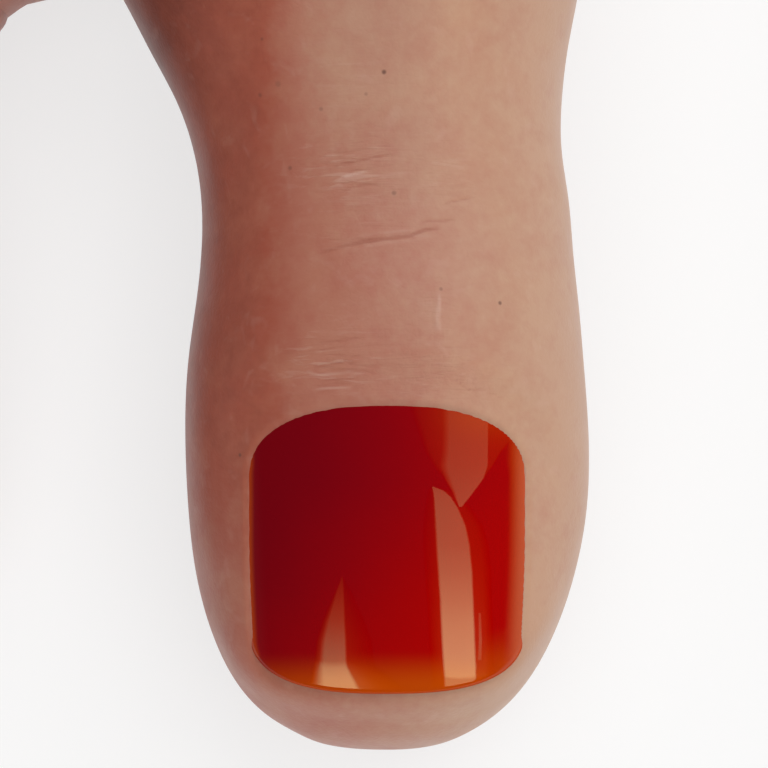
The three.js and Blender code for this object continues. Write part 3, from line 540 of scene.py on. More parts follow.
# Creases of the big toe as lines through the photograph's pixels, each with its width in pixels and
# its depth in millimetres
BIG_TOE_CREASES = [
    ([(306, 256), (326, 251), (345, 246), (362, 241), (384, 239)], 2.6, 0.042),
    ([(345, 248), (367, 241), (390, 238), (409, 236), (424, 230), (456, 226)], 2.5, 0.06),
    ([(412, 226), (428, 221), (444, 221), (462, 219)], 2.2, 0.038),
    ([(436, 207), (450, 202), (462, 200), (480, 196)], 1.7, 0.035),
    ([(322, 169), (345, 163), (362, 160), (374, 157), (404, 152)], 1.7, 0.05),
    ([(328, 158), (348, 151), (364, 148), (384, 146), (406, 147)], 1.6, 0.03),
    ([(334, 196), (346, 189), (362, 185), (384, 183)], 1.8, 0.04),
    ([(330, 183), (346, 176), (358, 173), (374, 170)], 1.6, -0.035),
    ([(332, 190), (344, 183), (360, 179)], 1.5, 0.025),
    ([(440, 168), (456, 164), (478, 162)], 1.6, 0.015),
    ([(298, 345), (322, 343), (342, 340), (362, 337), (376, 339)], 1.7, 0.04),
    ([(304, 368), (326, 366), (346, 361), (366, 364)], 1.8, 0.045),
    ([(308, 376), (326, 374), (350, 372), (372, 374)], 1.5, -0.03),
    ([(312, 382), (328, 380), (350, 379), (370, 382)], 1.6, 0.035),
    ([(306, 391), (330, 388), (362, 389)], 1.6, -0.03),
    ([(440, 376), (456, 380), (472, 392), (484, 394)], 1.5, 0.03),
    ([(462, 388), (478, 390), (494, 394), (508, 402)], 1.6, 0.03),
    ([(437, 284), (439, 300), (438, 320), (440, 340)], 2.2, -0.035),
    ([(424, 342), (440, 345), (460, 350)], 1.5, 0.02),
    ([(350, 262), (372, 258), (396, 254), (416, 250)], 1.6, 0.015),
    ([(466, 244), (468, 256), (476, 266), (484, 270)], 1.8, 0.02),
    ([(344, 212), (352, 210), (360, 213), (366, 220)], 1.5, 0.02),
]
# Creases over a lesser toe's two knuckles: place along it as a share of its length, width and depth in
# millimetres, and how far the line bows back at the sides
KNUCKLE_CREASES = [
    (0.545, 0.3, 0.11, 1.6), (0.575, 0.34, 0.16, 1.3), (0.61, 0.3, 0.12, 1.0), (0.65, 0.3, 0.07, 0.6),
    (0.42, 0.24, 0.06, 0.8), (0.445, 0.24, 0.07, 0.9), (0.9, 0.4, 0.1, -0.8), (0.945, 0.4, 0.07, -1.2),
]
# The share of a drawn crease's length over which it fades out, and how high its lips stand beside its depth
CREASE_FADE, CREASE_LIP = 0.3, 0.16


def drawn_creases(points):
    """How deep each point lies in the drawn creases, with the lips that stand up beside them."""
    pixels = np.stack(pixels_of(points), axis=-1)
    depth = np.zeros(pixels.shape[:-1])
    for line, width, deep in BIG_TOE_CREASES:
        away, along, _ = to_line(pixels, line)
        groove = bell(away, 0, width) - CREASE_LIP * bell(away, 2 * width, width)
        depth += deep * fading_ends(along, CREASE_FADE) * groove * (away < 6 * width)
    return depth


def knuckle_creases(toe, points):
    """How deep a lesser toe's skin is creased over its knuckles."""
    x, back, up = np.moveaxis(toe.local(points), -1, 0)
    side = x / toe.width * 2
    top = smooth_step(up, toe.height * 0.5, toe.height * 0.8)
    depth = np.zeros(side.shape)
    for place, width, deep, bow in KNUCKLE_CREASES:
        wander = 0.25 * np.sin(side * 5 + place * 40)
        away = np.abs(back - place * toe.length - bow * side ** 2 - wander)
        groove = bell(away, 0, width) - 0.4 * bell(away, 2.1 * width, 1.1 * width)
        reach = 0.75 - 0.2 * math.sin(place * 55)
        depth += deep * groove * top * (1 - smooth_step(np.abs(side), 0.45 * reach, reach + 0.2))
    return depth


def toe_grid(toe, nail, backs, sides, crown_share):
    """A toe's skin as rings, folded round the nail and creased, and how deep it is creased."""
    grid = toe.surface(backs, even_angles(sides, crown_share))
    grid[..., 2] = np.maximum(grid[..., 2], 0)
    grid = lay_fold(grid, nail)
    creases = drawn_creases(grid) if toe is big_toe else knuckle_creases(toe, grid)
    return grid - grid_normals(grid) * creases[..., None], creases


def meet_foot(toe, grid, backs, tree):
    """Lays the rear of a toe's skin onto the foot's skin and tucks its end under it."""
    share = smooth_step(backs, toe.length + 1, toe.meet_end)
    tuck = smooth_step(backs, toe.meet_end, backs[-1]) * TUCK_DEPTH
    normals = grid_normals(grid)
    out = grid.copy()
    for i in np.nonzero(share > 0)[0]:
        for j in range(grid.shape[1]):
            place, facing, _, _ = tree.find_nearest(Vector(grid[i, j]), FOOT_REACH)
            if place is None:
                out[i, j] -= normals[i, j] * UNMET_DEPTH * share[i]
            else:
                out[i, j] = mix(grid[i, j], np.array(place), share[i]) - np.array(facing) * tuck[i]
    return out


def big_toe_skins(tree):
    """The big toe from its tip to the picture's edge, and the band behind it that bends at the root."""
    backs = big_toe.even_backs(BIG_ROOT_FRONT, BIG_RINGS)
    step = backs[-1] - backs[-2]
    behind = np.linspace(backs[-1] + step, big_toe.length + BIG_SLEEVE_REACH, ROOT_RINGS)
    backs = np.concatenate([backs, behind])
    grid, creases = toe_grid(big_toe, big_nail, backs, BIG_SIDES, BIG_CROWN_SHARE)
    ahead, root = slice(BIG_RINGS), slice(BIG_RINGS - 1, None)
    front = tube_object("big_toe_silicone", grid[ahead], grid[0].mean(axis=0))
    paint(front, np.append(creases[ahead], 0))
    band = tube_object("big_toe_root_silicone", meet_foot(big_toe, grid[root], backs[root], tree))
    paint(band, creases[root])
    return front, band


def lesser_toe_skin(toe, nail, tree):
    backs = toe.even_backs(toe.length + SLEEVE_REACH, LESSER_RINGS)
    grid, creases = toe_grid(toe, nail, backs, LESSER_SIDES, LESSER_CROWN_SHARE)
    grid = meet_foot(toe, grid, backs, tree)
    skin = tube_object(toe.name + "_silicone", grid, grid[0].mean(axis=0))
    paint(skin, np.append(creases, 0))
    return skin


# Materials

class Value:
    """A number in a material's nodes, with the operators of arithmetic."""

    def __init__(self, graph, socket):
        self.graph, self.socket = graph, socket

    def math(self, operation, *others):
        return self.graph.value("ShaderNodeMath", {"operation": operation}, dict(enumerate((self, *others))))

    def __add__(self, other):
        return self.math("ADD", other)

    def __sub__(self, other):
        return self.math("SUBTRACT", other)

    def __rsub__(self, other):
        return self.math("MULTIPLY_ADD", -1, other)

    def __mul__(self, other):
        return self.math("MULTIPLY", other)

    __radd__ = __add__
    __rmul__ = __mul__

    def between(self, low, high):
        """0 below low, 1 above high and smooth between them."""
        inputs = {0: self, 1: low, 2: high}
        return self.graph.value("ShaderNodeMapRange", {"interpolation_type": "SMOOTHSTEP"}, inputs)


class Graph:
    """The nodes of a material or of the world, added one after another."""

    def __init__(self, owner):
        self.owner = owner
        owner.use_nodes = True
        self.tree = owner.node_tree
        self.place = self.node("ShaderNodeTexCoord", {}, {}).outputs["Object"]

    def node(self, kind, settings, inputs):
        made = self.tree.nodes.new(kind)
        for key, value in settings.items():
            if key == "stops":
                self.set_stops(made.color_ramp, value)
            else:
                setattr(made, key, value)
        for key, value in inputs.items():
            self.feed(made.inputs[key], value)
        return made

    def set_stops(self, ramp, stops):
        while len(ramp.elements) < len(stops):
            ramp.elements.new(0.5)
        for element, (place, colour) in zip(ramp.elements, stops):
            element.position = place
            element.color = (*colour, 1)

    def feed(self, socket, value):
        if isinstance(value, Value):
            value = value.socket
        if isinstance(value, bpy.types.NodeSocket):
            self.tree.links.new(value, socket)
        elif isinstance(value, tuple) and socket.type == "RGBA":
            socket.default_value = (*value[:3], 1)
        else:
            socket.default_value = value

    def value(self, kind, settings, inputs, output=0):
        return Value(self, self.node(kind, settings, inputs).outputs[output])

    def attribute(self, name):
        return self.value("ShaderNodeAttribute", {"attribute_name": name}, {}, "Fac")

    def follow(self, name):
        """Lets the patterns lie on a vector attribute, so that they stay on skin that bends."""
        self.place = self.node("ShaderNodeAttribute", {"attribute_name": name}, {}).outputs["Vector"]

    def stretched(self, scale, turn=(0, 0, 0)):
        inputs = {"Vector": self.place, "Scale": scale, "Rotation": turn}
        return self.node("ShaderNodeMapping", {}, inputs).outputs[0]

    def noise(self, scale, detail=2.0, roughness=0.5, distortion=0.0, vector=None):
        inputs = {
            "Vector": self.place if vector is None else vector, "Scale": scale, "Detail": detail,
            "Roughness": roughness, "Distortion": distortion,
        }
        return self.value("ShaderNodeTexNoise", {}, inputs)

    def cells(self, scale, feature="F1"):
        inputs = {"Vector": self.place, "Scale": scale}
        return self.value("ShaderNodeTexVoronoi", {"feature": feature}, inputs, "Distance")

    def near(self, place, radius):
        """1 at a place and 0 beyond a radius round it, in metres."""
        inputs = {0: self.place, 1: tuple(place)}
        away = self.value("ShaderNodeVectorMath", {"operation": "DISTANCE"}, inputs, "Value")
        return 1 - away.between(0.25 * radius, radius)

    def blend(self, a, b, share):
        """A colour between two colours."""
        made = self.node("ShaderNodeMix", {"data_type": "RGBA"}, {0: share})
        self.feed(made.inputs[6], a)
        self.feed(made.inputs[7], b)
        return made.outputs[2]

    def ramp(self, value, stops):
        return self.node("ShaderNodeValToRGB", {"stops": stops}, {"Fac": value}).outputs[0]

    def bump(self, height, distance, strength, under=None):
        inputs = {"Height": height, "Distance": distance, "Strength": strength}
        if under is not None:
            inputs["Normal"] = under
        return self.node("ShaderNodeBump", {}, inputs).outputs[0]

    def seen_plainly(self):
        """1 for what the camera sees straight or in a mirror, and 0 for what lights other things."""
        rays = self.node("ShaderNodeLightPath", {}, {})
        kinds = ("Camera", "Glossy", "Transmission")
        camera, glossy, clear = (Value(self, rays.outputs["Is " + kind + " Ray"]) for kind in kinds)
        return camera + glossy + clear

    def finish(self, colour, roughness, normal=None, **plain):
        shader = self.tree.nodes["Principled BSDF"]
        self.feed(shader.inputs["Base Color"], colour)
        self.feed(shader.inputs["Roughness"], roughness)
        if normal is not None:
            self.feed(shader.inputs["Normal"], normal)
        for key, value in plain.items():
            shader.inputs[key.replace("_", " ")].default_value = value
        return self.owner


# Colours of the painted silicone, from the tan side to the flushed side and on to painted shade in the clefts
# between toes
TAN, PINK = (0.525, 0.303, 0.2), (0.44, 0.158, 0.106)
FLUSHED, CLEFT_SHADE = (0.375, 0.088, 0.052), (0.18, 0.036, 0.02)
FLUSH_AND_SHADE_RANGE = 1.6
# Yellowed and dry skin tones; the dry tone also serves as painted highlight on crease lips and wrinkle crests, and
# the crease colour is painted shade in creases and wrinkle troughs
YELLOWED, DRY_AND_HIGHLIGHT, CREASE_SHADE = (0.56, 0.33, 0.20), (0.66, 0.44, 0.36), (0.32, 0.085, 0.05)
FRECKLE, MOLE = (0.25, 0.085, 0.055), (0.13, 0.05, 0.035)
# Colours of the gel, the nail beds, the resin and the steel
MAROON, RED, ORANGE = (0.20, 0.0004, 0.005), (0.40, 0.0004, 0.0002), (0.50, 0.058, 0.0006)
PALE_BED, PINK_BED = (0.78, 0.50, 0.40), (0.70, 0.39, 0.31)
PALE_RESIN, WARM_RESIN, PITTED_RESIN = (0.83, 0.80, 0.73), (0.76, 0.725, 0.65), (0.55, 0.51, 0.44)
BRIGHT_STEEL, WORN_STEEL = (0.62, 0.62, 0.62), (0.46, 0.455, 0.45)
# Small moles and freckles: place in the photograph, radius in pixels, darkness
MOLES = [
    (384, 72, 3.4, 0.8), (500, 303, 3, 0.7), (240, 455, 3, 0.7), (262, 39, 2.6, 0.45), (278, 84, 4.5, 0.3),
    (260, 95, 3.2, 0.45), (290, 168, 3.2, 0.45), (394, 193, 3.4, 0.45), (321, 109, 3.2, 0.35),
    (366, 94, 2.8, 0.3), (441, 289, 2.8, 0.4),
]


def silicone_material(moles):
    """Tan-pink silicone painted like skin: reddened along an attribute that also carries painted shade between the
    toes and painted light behind the big toe's tip, with painted shade in creases and wrinkle troughs and painted
    highlights on crease lips and wrinkle crests, mottled, with pores.
    """
    g = Graph(bpy.data.materials.new("silicone"))
    g.follow("rest")
    flush, crease, wrinkle = g.attribute("flush"), g.attribute("crease"), g.attribute("wrinkle")
    mottle = g.noise(190, 4, 0.6)
    patches = g.noise(520, 3, 0.55, 0.4)
    fine = g.noise(1500, 3, 0.6)
    share = flush + (mottle - 0.5) * 0.34 + (patches - 0.5) * 0.3 + (fine - 0.5) * 0.3
    # Values past 1 run from the flushed colour into painted shade, deep between the toes
    stops = [(0, TAN), (0.5 / FLUSH_AND_SHADE_RANGE, PINK), (1 / FLUSH_AND_SHADE_RANGE, FLUSHED), (1, CLEFT_SHADE)]
    colour = g.ramp(share * (1 / FLUSH_AND_SHADE_RANGE), stops)
    yellow = g.noise(330, 3, 0.6).between(0.42, 0.66)
    colour = g.blend(colour, YELLOWED, yellow * (1 - share.between(0.7, 1.3)) * 0.14)
    folds = g.noise(1, 3, 0.62, 0.7, g.stretched((300, 2500, 1400), (0, 0, 0.15)))
    dry = g.noise(700, 2, 0.5, 0.6).between(0.58, 0.75)
    # Painted glints on the crests of fine wrinkles, where the skin is also a little smoother
    painted_glints = folds.between(0.53, 0.68) * wrinkle
    # Paler where painted highlights fall on the lips beside creases and on wrinkle crests, and on dry patches
    pale = (0 - crease).between(0.001, 0.03) + dry * 0.3 + painted_glints
    colour = g.blend(colour, DRY_AND_HIGHLIGHT, pale * 0.3)
    # Darker with painted shade in creases and in the troughs of fine wrinkles
    dark = crease.between(0.004, 0.06) + (1 - folds.between(0.3, 0.46)) * wrinkle * 0.6
    colour = g.blend(colour, CREASE_SHADE, dark * 0.55)
    freckle = (1 - g.cells(240).between(0.02, 0.075)) * g.noise(120).between(0.5, 0.62)
    colour = g.blend(colour, FRECKLE, freckle * 0.35)
    for place, radius, darkness in moles:
        colour = g.blend(colour, MOLE, g.near(place, radius) * darkness)
    pits = 1 - g.cells(1700).between(0.0, 0.3)
    weave = g.cells(2600, "DISTANCE_TO_EDGE")
    lines = g.noise(1, 3, 0.6, 0.3, g.stretched((260, 1300, 900)))
    relief = weave.between(0.0, 0.25) * 0.45 + lines * 0.55 - pits * 0.4
    normal = g.bump(relief, 0.00003, 0.4)
    normal = g.bump(folds * wrinkle, 0.00015, 0.9, normal)
    normal = g.bump(g.noise(300, 3, 0.6), 0.00012, 0.25, normal)
    rough = 0.46 + (g.noise(300, 3, 0.6) - 0.5) * 0.26 + pits * 0.06 - painted_glints * 0.12
    return g.finish(colour, rough, normal, Specular_IOR_Level=0.42, Sheen_Weight=0.1, Sheen_Roughness=0.45)


def polish_material():
    """Clear gel over red: maroon to one side, orange where the coat thins out to the rim."""
    g = Graph(bpy.data.materials.new("nail_polish"))
    rim, warm = g.attribute("rim"), g.attribute("warm")
    drift = g.noise(170, 2, 0.5, 0.3) - 0.5
    share = (warm + drift * 0.16).between(-0.05, 1.05)
    colour = g.blend(MAROON, RED, share)
    colour = g.blend(colour, ORANGE, rim.between(0.0, 1.0))
    depth = g.bump(g.noise(260, 1, 0.4), 0.00002, 0.3)
    g.feed(g.tree.nodes["Principled BSDF"].inputs["Coat Weight"], 1 - g.attribute("edge") * 0.9)
    plain = {"Coat_Roughness": 0.012, "Coat_IOR": 1.5, "Specular_IOR_Level": 0.0}
    return g.finish(colour, 0.35 + drift * 0.1, depth, **plain)


def nail_bed_material():
    """Satin pale pink hard resin, a little redder in the middle and finely sanded along its length."""
    g = Graph(bpy.data.materials.new("nail_bed"))
    cloud = g.noise(240, 3, 0.55)
    sanded = g.noise(1, 3, 0.6, 0.0, g.stretched((5200, 500, 5200)))
    colour = g.blend(PALE_BED, PINK_BED, cloud.between(0.35, 0.7))
    return g.finish(colour, 0.38 + sanded * 0.14, g.bump(sanded, 0.00003, 0.5))


def resin_material():
    """Matt off-white cast resin with fine pits and faint layer lines."""
    g = Graph(bpy.data.materials.new("hard_resin"))
    cloud = g.noise(60, 4, 0.6)
    grit = g.noise(2200, 3, 0.65)
    pits = 1 - g.cells(520).between(0.03, 0.12)
    colour = g.blend(PALE_RESIN, WARM_RESIN, cloud.between(0.3, 0.7))
    colour = g.blend(colour, PITTED_RESIN, pits * 0.35)
    layers = g.noise(1, 1, 0.4, 0.0, g.stretched((6, 6, 2400)))
    relief = grit * 0.5 + layers * 0.5 - pits * 0.8
    return g.finish(colour, 0.5 + (cloud - 0.5) * 0.2, g.bump(relief, 0.00004, 0.5))


def steel_material():
    """Fine brushed steel, a little darker where it has been handled."""
    g = Graph(bpy.data.materials.new("steel"))
    brushed = g.noise(1, 4, 0.7, 0.0, g.stretched((9000, 700, 900), (0, 0, 0.5)))
    worn = g.noise(420, 3, 0.6).between(0.4, 0.7)
    colour = g.blend(BRIGHT_STEEL, WORN_STEEL, worn * 0.6 + brushed * 0.3)
    return g.finish(colour, 0.24 + brushed * 0.22, g.bump(brushed, 0.00002, 0.4), Metallic=1.0)


# Studio: a pale table, plain lights, and bright panes that only the nails mirror

WHITENESS = 0.7
TABLE_SIZE, TABLE_DROP = 30, 0.0002
PALE_TABLE, GREY_TABLE = (0.93, 0.93, 0.925), (0.905, 0.905, 0.90)
ROOM_WHITE, PANE_WHITE, PANE_ORANGE = (1, 0.99, 0.975), (1, 0.88, 0.43), (1.8, 0.33, 0.03)


def floor_material():
    """A matt white table, plain where the camera or a mirror sees it apart from the shadow on it."""
    g = Graph(bpy.data.materials.new("pale_table"))
    grain = g.noise(55, 3, 0.5)
    colour = g.blend(PALE_TABLE, GREY_TABLE, grain)
    material = g.finish(colour, 0.7, g.bump(grain, 0.0002, 0.1), Specular_IOR_Level=0.1)
    glow = g.node("ShaderNodeEmission", {}, {"Color": (1, 1, 1), "Strength": 1.0})
    surface = g.tree.nodes["Principled BSDF"].outputs[0]
    inputs = {0: g.seen_plainly() * WHITENESS, 1: surface, 2: glow.outputs[0]}
    both = g.node("ShaderNodeMixShader", {}, inputs)
    g.feed(g.tree.nodes["Material Output"].inputs["Surface"], both.outputs[0])
    return material


def add_floor():
    bpy.ops.mesh.primitive_plane_add(size=TABLE_SIZE, location=(0, 0, -TABLE_DROP))
    floor = bpy.context.active_object
    floor.name = "table"
    bpy.ops.object.transform_apply(location=True)
    floor.data.materials.append(floor_material())


def studio_world():
    """A dim room with a pale band low down on the right, and white behind the table for the camera."""
    g = Graph(bpy.data.worlds.new("studio"))
    direction = g.node("ShaderNodeTexCoord", {}, {}).outputs["Generated"]
    parts = g.node("ShaderNodeSeparateXYZ", {}, {"Vector": direction})
    right, up = Value(g, parts.outputs["X"]), Value(g, parts.outputs["Z"])
    low = 1 - up.between(0.14, 0.36)
    lit = low * (0.1 + right.between(0.0, 0.9) * 0.75) + 0.03
    seen = g.seen_plainly() * (1 - up.between(0.0, 0.12))
    inputs = {"Color": ROOM_WHITE, "Strength": lit * (1 - seen) + seen}
    for key, value in inputs.items():
        g.feed(g.tree.nodes["Background"].inputs[key], value)
    return g.owner


# Lights: direction (right, back, up) from the big toe's nail, distance, size, radiance, and whether
# glossy things mirror it
LIGHTS = {
    "key": ((0.45, 0.8, 1), 1800, (2400, 2000), 1.5, True),
    "ceiling": ((0.1, -0.45, 1), 1600, (2200, 2200), 1.3, False),
    "left_fill": ((-1, -0.1, 0.4), 1500, (1600, 900), 0.58, False),
    "right_fill": ((1, 0.1, 0.3), 1500, (1600, 900), 0.28, False),
    "front_fill": ((0.25, -1, 0.4), 1500, (1800, 900), 0.55, False),
}
LIT_PLACE = (0, 8, -1)


def add_light(name, direction, distance, size, radiance, mirrored):
    towards = Vector(direction).normalized()
    data = bpy.data.lights.new(name, "AREA")
    data.shape = "RECTANGLE"
    data.size, data.size_y = size[0] * MM, size[1] * MM
    data.energy = radiance * math.pi * data.size * data.size_y
    light = bpy.data.objects.new(name, data)
    target = Vector(big_nail.place(LIT_PLACE) * MM)
    place = Matrix.Translation(target + towards * distance * MM)
    light.matrix_world = place @ towards.to_track_quat("Z", "Y").to_matrix().to_4x4()
    light.visible_glossy = mirrored
    bpy.context.scene.collection.objects.link(light)


# Bright panes that the nail mirrors. Each row is a height in the photograph, the pane's left and right
# edge there and its brightness; a profile gives shares of the width and how bright the pane is there.
WINDOW_STRIP = [
    (487, 432, 434, 1.5), (491, 433, 444, 1.7), (497, 434, 451, 1.8), (508, 434.5, 458, 1.9),
    (526, 435.5, 466, 2.0), (545, 436.5, 470, 2.1), (572, 438.5, 472.5, 2.8), (600, 440.5, 473.5, 3.9),
    (625, 441.5, 474.5, 5.2), (655, 443, 475.5, 6.2), (676, 444.5, 476, 6.4), (679, 444.5, 476, 3.6),
    (704, 445.5, 475, 3.2),
]
STRIP_PROFILE = [(-0.4, 0), (-0.04, 0.1), (0.05, 1), (0.95, 1), (1.02, 0.15), (1.3, 0.12), (1.55, 0)]
CUTICLE_PANE = [
    (398, 410, 536, 1.2), (412, 414.5, 529, 1.25), (431, 421, 518, 1.3), (451, 427, 502, 1.4),
    (466, 435.5, 493, 1.45), (478, 444.5, 484.5, 1.5), (492, 452, 474, 1.6), (507, 459, 461.5, 1.7),
]
CUTICLE_PROFILE = [(-0.03, 0), (0.04, 0.2), (0.3, 0.35), (0.97, 0.3), (1, 0)]
INNER_PANE = [
    (398, 442, 488, 1.2), (431, 442.5, 488.3, 1.35), (451, 442, 488.2, 1.45), (466, 440, 488, 1.5),
    (478, 445, 483.8, 1.6), (492, 452.4, 473.6, 1.7), (507, 459.2, 461.4, 1.8),
]
INNER_PROFILE = [(0, 0.32), (0.16, 0.95), (0.985, 1), (1, 0.3)]
CORNER_PANE = [
    (577, 341.5, 342.5, 0.4), (593, 335, 344, 0.7), (620, 325, 345.5, 1.2), (641, 319.5, 347, 1.8),
    (661, 318, 347.5, 2.4), (668, 317, 348.5, 5.0), (677, 316, 354, 6.0), (691, 314, 361, 6.2),
    (702, 313, 364, 6.0),
]
CORNER_PROFILE = [(-0.12, 0), (0.04, 0.3), (0.22, 1), (0.9, 1), (1.0, 0.22), (1.5, 0.08), (1.9, 0)]
THIN_PANE = [(613, 478.5, 481, 1.4), (640, 478.8, 482, 1.9), (660, 477.5, 481.5, 1.6)]
THIN_PROFILE = [(-0.2, 0.3), (0.2, 1), (0.8, 1), (1.2, 0.3)]
CARD_DISTANCE, NEAR_CARD_DISTANCE = 500, 420
# How often the mirrored place is worked out anew, and how far from the nail's middle it may lie
MIRROR_ROUNDS, MIRROR_REACH = 12, 11
CARDS = {
    "strip_card": (WINDOW_STRIP, STRIP_PROFILE, CARD_DISTANCE),
    "cuticle_card": (CUTICLE_PANE, CUTICLE_PROFILE, CARD_DISTANCE),
    "corner_card": (CORNER_PANE, CORNER_PROFILE, CARD_DISTANCE),
    "inner_card": (INNER_PANE, INNER_PROFILE, NEAR_CARD_DISTANCE),
    "thin_card": (THIN_PANE, THIN_PROFILE, NEAR_CARD_DISTANCE),
}


def mirrored_place(px, py, distance):
    """Where the nail's surface mirrors a pixel of the photograph to, in millimetres."""
    ray = pixel_ray(px, py)
    start, step = big_nail.local(view.origin), big_nail.axes @ ray
    gone = -start[2] / step[2]
    for _ in range(MIRROR_ROUNDS):
        x, y, z = start + gone * step
        gone += (z + big_nail.drop(x, y)) / -step[2]
    x, y, _ = start + gone * step
    facing = big_nail.upright(np.clip(x, -MIRROR_REACH, MIRROR_REACH), y)
    bounced = ray - 2 * (ray @ facing) * facing
    return view.origin + gone * ray + bounced * distance


def card_material():
    """Daylight through a window, orange where it is faint."""
    g = Graph(bpy.data.materials.new("window_light"))
    glow = g.attribute("glow")
    colour = g.blend(PANE_ORANGE, PANE_WHITE, glow.between(0.1, 2.4))
    light = g.node("ShaderNodeEmission", {}, {"Color": colour, "Strength": glow})
    g.feed(g.tree.nodes["Material Output"].inputs["Surface"], light.outputs[0])
    return g.owner


def add_card(name, rows, profile, distance, material):
    points, glows = [], []
    for height, left, right, brightness in rows:
        for share, factor in profile:
            points.append(mirrored_place(mix(left, right, share), height, distance))
            glows.append(brightness * factor)
    wide = len(profile)
    corners = [row * wide + i for row in range(len(rows) - 1) for i in range(wide - 1)]
    card = mesh_object(name, points, [(c, c + 1, c + wide + 1, c + wide) for c in corners])
    put_attribute(card, "glow", glows)
    card.data.materials.append(material)
    card.visible_camera = card.visible_diffuse = card.visible_shadow = card.visible_transmission = False


def add_studio():
    bpy.context.scene.world = studio_world()
    for name, light in LIGHTS.items():
        add_light(name, *light)
    material = card_material()
    for name, card in CARDS.items():
        add_card(name, *card, material)
    bpy.context.scene.view_settings.view_transform = "Standard"


# How red the silicone is painted, with painted shade between the toes and on the big toe's web side

def flush_and_shade_of_toe(toe, x, back, up):
    """The paint on a toe, in the toe's own frame, with painted shade towards the webs and on the big toe's web
    side, and painted light just behind the big toe's tip where the nail's free edge shades the skin.
    """
    if toe is big_toe:
        # The web side redder: partly the paint's own redness, partly painted shade of the side turned away from
        # the light
        band = 0.5 * (1 - smooth_step(x, -8, -4.3)) * mix(0.4, 1, smooth_step(back, 5, 19))
        # Painted shade deep in the web towards the second toe
        cleft_shade = 0.45 * smooth_step(-x, 8.5, 13.5) * smooth_step(back, 32, 40)
        pad = 0.25 * (1 - smooth_step(up, 2, 7))
        root = 0.14 * smooth_step(back, 40, 50)
        # Redder from the free side across to the web side: partly the paint's own redness, partly painted shade of
        # the side turned away from the light
        middle = 0.58 - 0.3 * smooth_step(back, 26, 36) * smooth_step(x, -6.5, -2.5)
        # The last term lightens the skin just behind the tip: painted light where the nail's free edge shades it
        return middle * (1 - smooth_step(x, -6, 11)) + band + cleft_shade + pad + root - 0.12 * bell(back, 3, 3)
    side = np.abs(x) / toe.width * 2
    edges = 0.42 * smooth_step(side, 0.4, 1.05)
    knuckle = 0.2 * bell(back, 0.6 * toe.length, 3.2)
    tip = 0.15 * (1 - smooth_step(back, 0, 7))
    pad = 0.2 * (1 - smooth_step(up, 1.5, 6))
    # Redder towards the webs: partly the paint's own redness, partly painted shade between the toes
    web = 0.4 * smooth_step(back, 0.7 * toe.length, toe.length + 5) * smooth_step(side, 0.45, 1.25)
    return 0.22 + edges + knuckle + tip + pad + web


def flush_of_body(points):
    """The paint on the foot behind the toes."""
    across = (points[:, 0] - midline) / half_breadth
    back, up = points[:, 1] - front_y, points[:, 2]
    low = 0.36 * (1 - smooth_step(up, 2, 15))
    heel = 0.34 * smooth_step(back, 168, 222) * (1 - smooth_step(up, 22, 60))
    ball = 0.2 * bell(back, 66, 22) * smooth_step(np.abs(across), 0.55, 1.05)
    knuckles = 0.16 * bell(back, 56, 9) * smooth_step(up, 10, 22)
    arch = 0.1 * bell(back, 118, 32) * smooth_step(across, 0.2, 0.8) * (1 - smooth_step(up, 10, 34))
    flush = 0.16 + low + heel + ball + knuckles - arch
    for ankle_back, height, _, _, side in ANKLES:
        round_it = bell(back, ankle_back, ANKLE_PAINT_REACH) * bell(up, height, ANKLE_PAINT_REACH)
        flush += 0.25 * round_it * smooth_step(across * side, 0.2, 0.6)
    return flush


def flush_and_shade_at(points):
    flush = flush_of_body(points)
    for toe in toes:
        x, back, up = toe.local(points).T
        half = toe.width / 2
        lateral = 1 - smooth_step(np.abs(x), half * 1.15, half * 1.75)
        share = lateral * (1 - smooth_step(back, toe.length - 3, toe.length + 16))
        flush = mix(flush, flush_and_shade_of_toe(toe, x, back, up), share)
    return flush


# Fine wrinkles on the big toe: place in the photograph, reach across and along in pixels, strength
WRINKLED = [
    (350, 168, 52, 34, 1.0), (440, 175, 50, 45, 0.35), (370, 236, 80, 16, 0.45), (335, 362, 52, 34, 1.0),
    (440, 375, 60, 26, 0.7), (345, 75, 40, 45, 0.3), (440, 310, 20, 36, 0.4),
]


def wrinkle_at(points):
    """How finely wrinkled the skin is, from 0 to 1."""
    px, py = pixels_of(points)
    upper = smooth_step(points[:, 2], 9, 14) * (points[:, 1] < big_toe.hinge[1] + 5)
    wrinkle = np.zeros(px.shape)
    for x, y, across, along, strength in WRINKLED:
        wrinkle = np.maximum(wrinkle, strength * bell(px, x, across) * bell(py, y, along) * upper)
    for toe in toes[1:]:
        x, back, up = toe.local(points).T
        knuckle = bell(back / toe.length, 0.6, 0.09) * bell(x / toe.width * 2, 0, 0.7)
        knuckle *= smooth_step(up, toe.height * 0.6, toe.height * 0.85)
        wrinkle = np.maximum(wrinkle, 0.6 * knuckle)
    return wrinkle


def paint(piece, crease):
    """Gives a skin piece the attributes that its material reads."""
    points = points_of(piece)
    put_attribute(piece, "flush", flush_and_shade_at(points))
    put_attribute(piece, "crease", crease)
    put_attribute(piece, "wrinkle", wrinkle_at(points))
    put_attribute(piece, "rest", points * MM, "FLOAT_VECTOR", "vector")


# Nail plates

PLATE_ROUNDING = 0.15
ROUNDING_STEPS = 6
# How far the plate reaches under the skin beside it, by which share of its length it does so fully, and
# between which shares that ends
PLATE_TUCK = 0.3
TUCK_FULL, TUCK_BAND = 0.35, (0.75, 0.95)
# Where the rings of the plate's face lie, from its middle to its edge
FACE_SHARES = np.concatenate([np.linspace(0.04, 0.9, 26), np.linspace(0.92, 0.985, 8)])


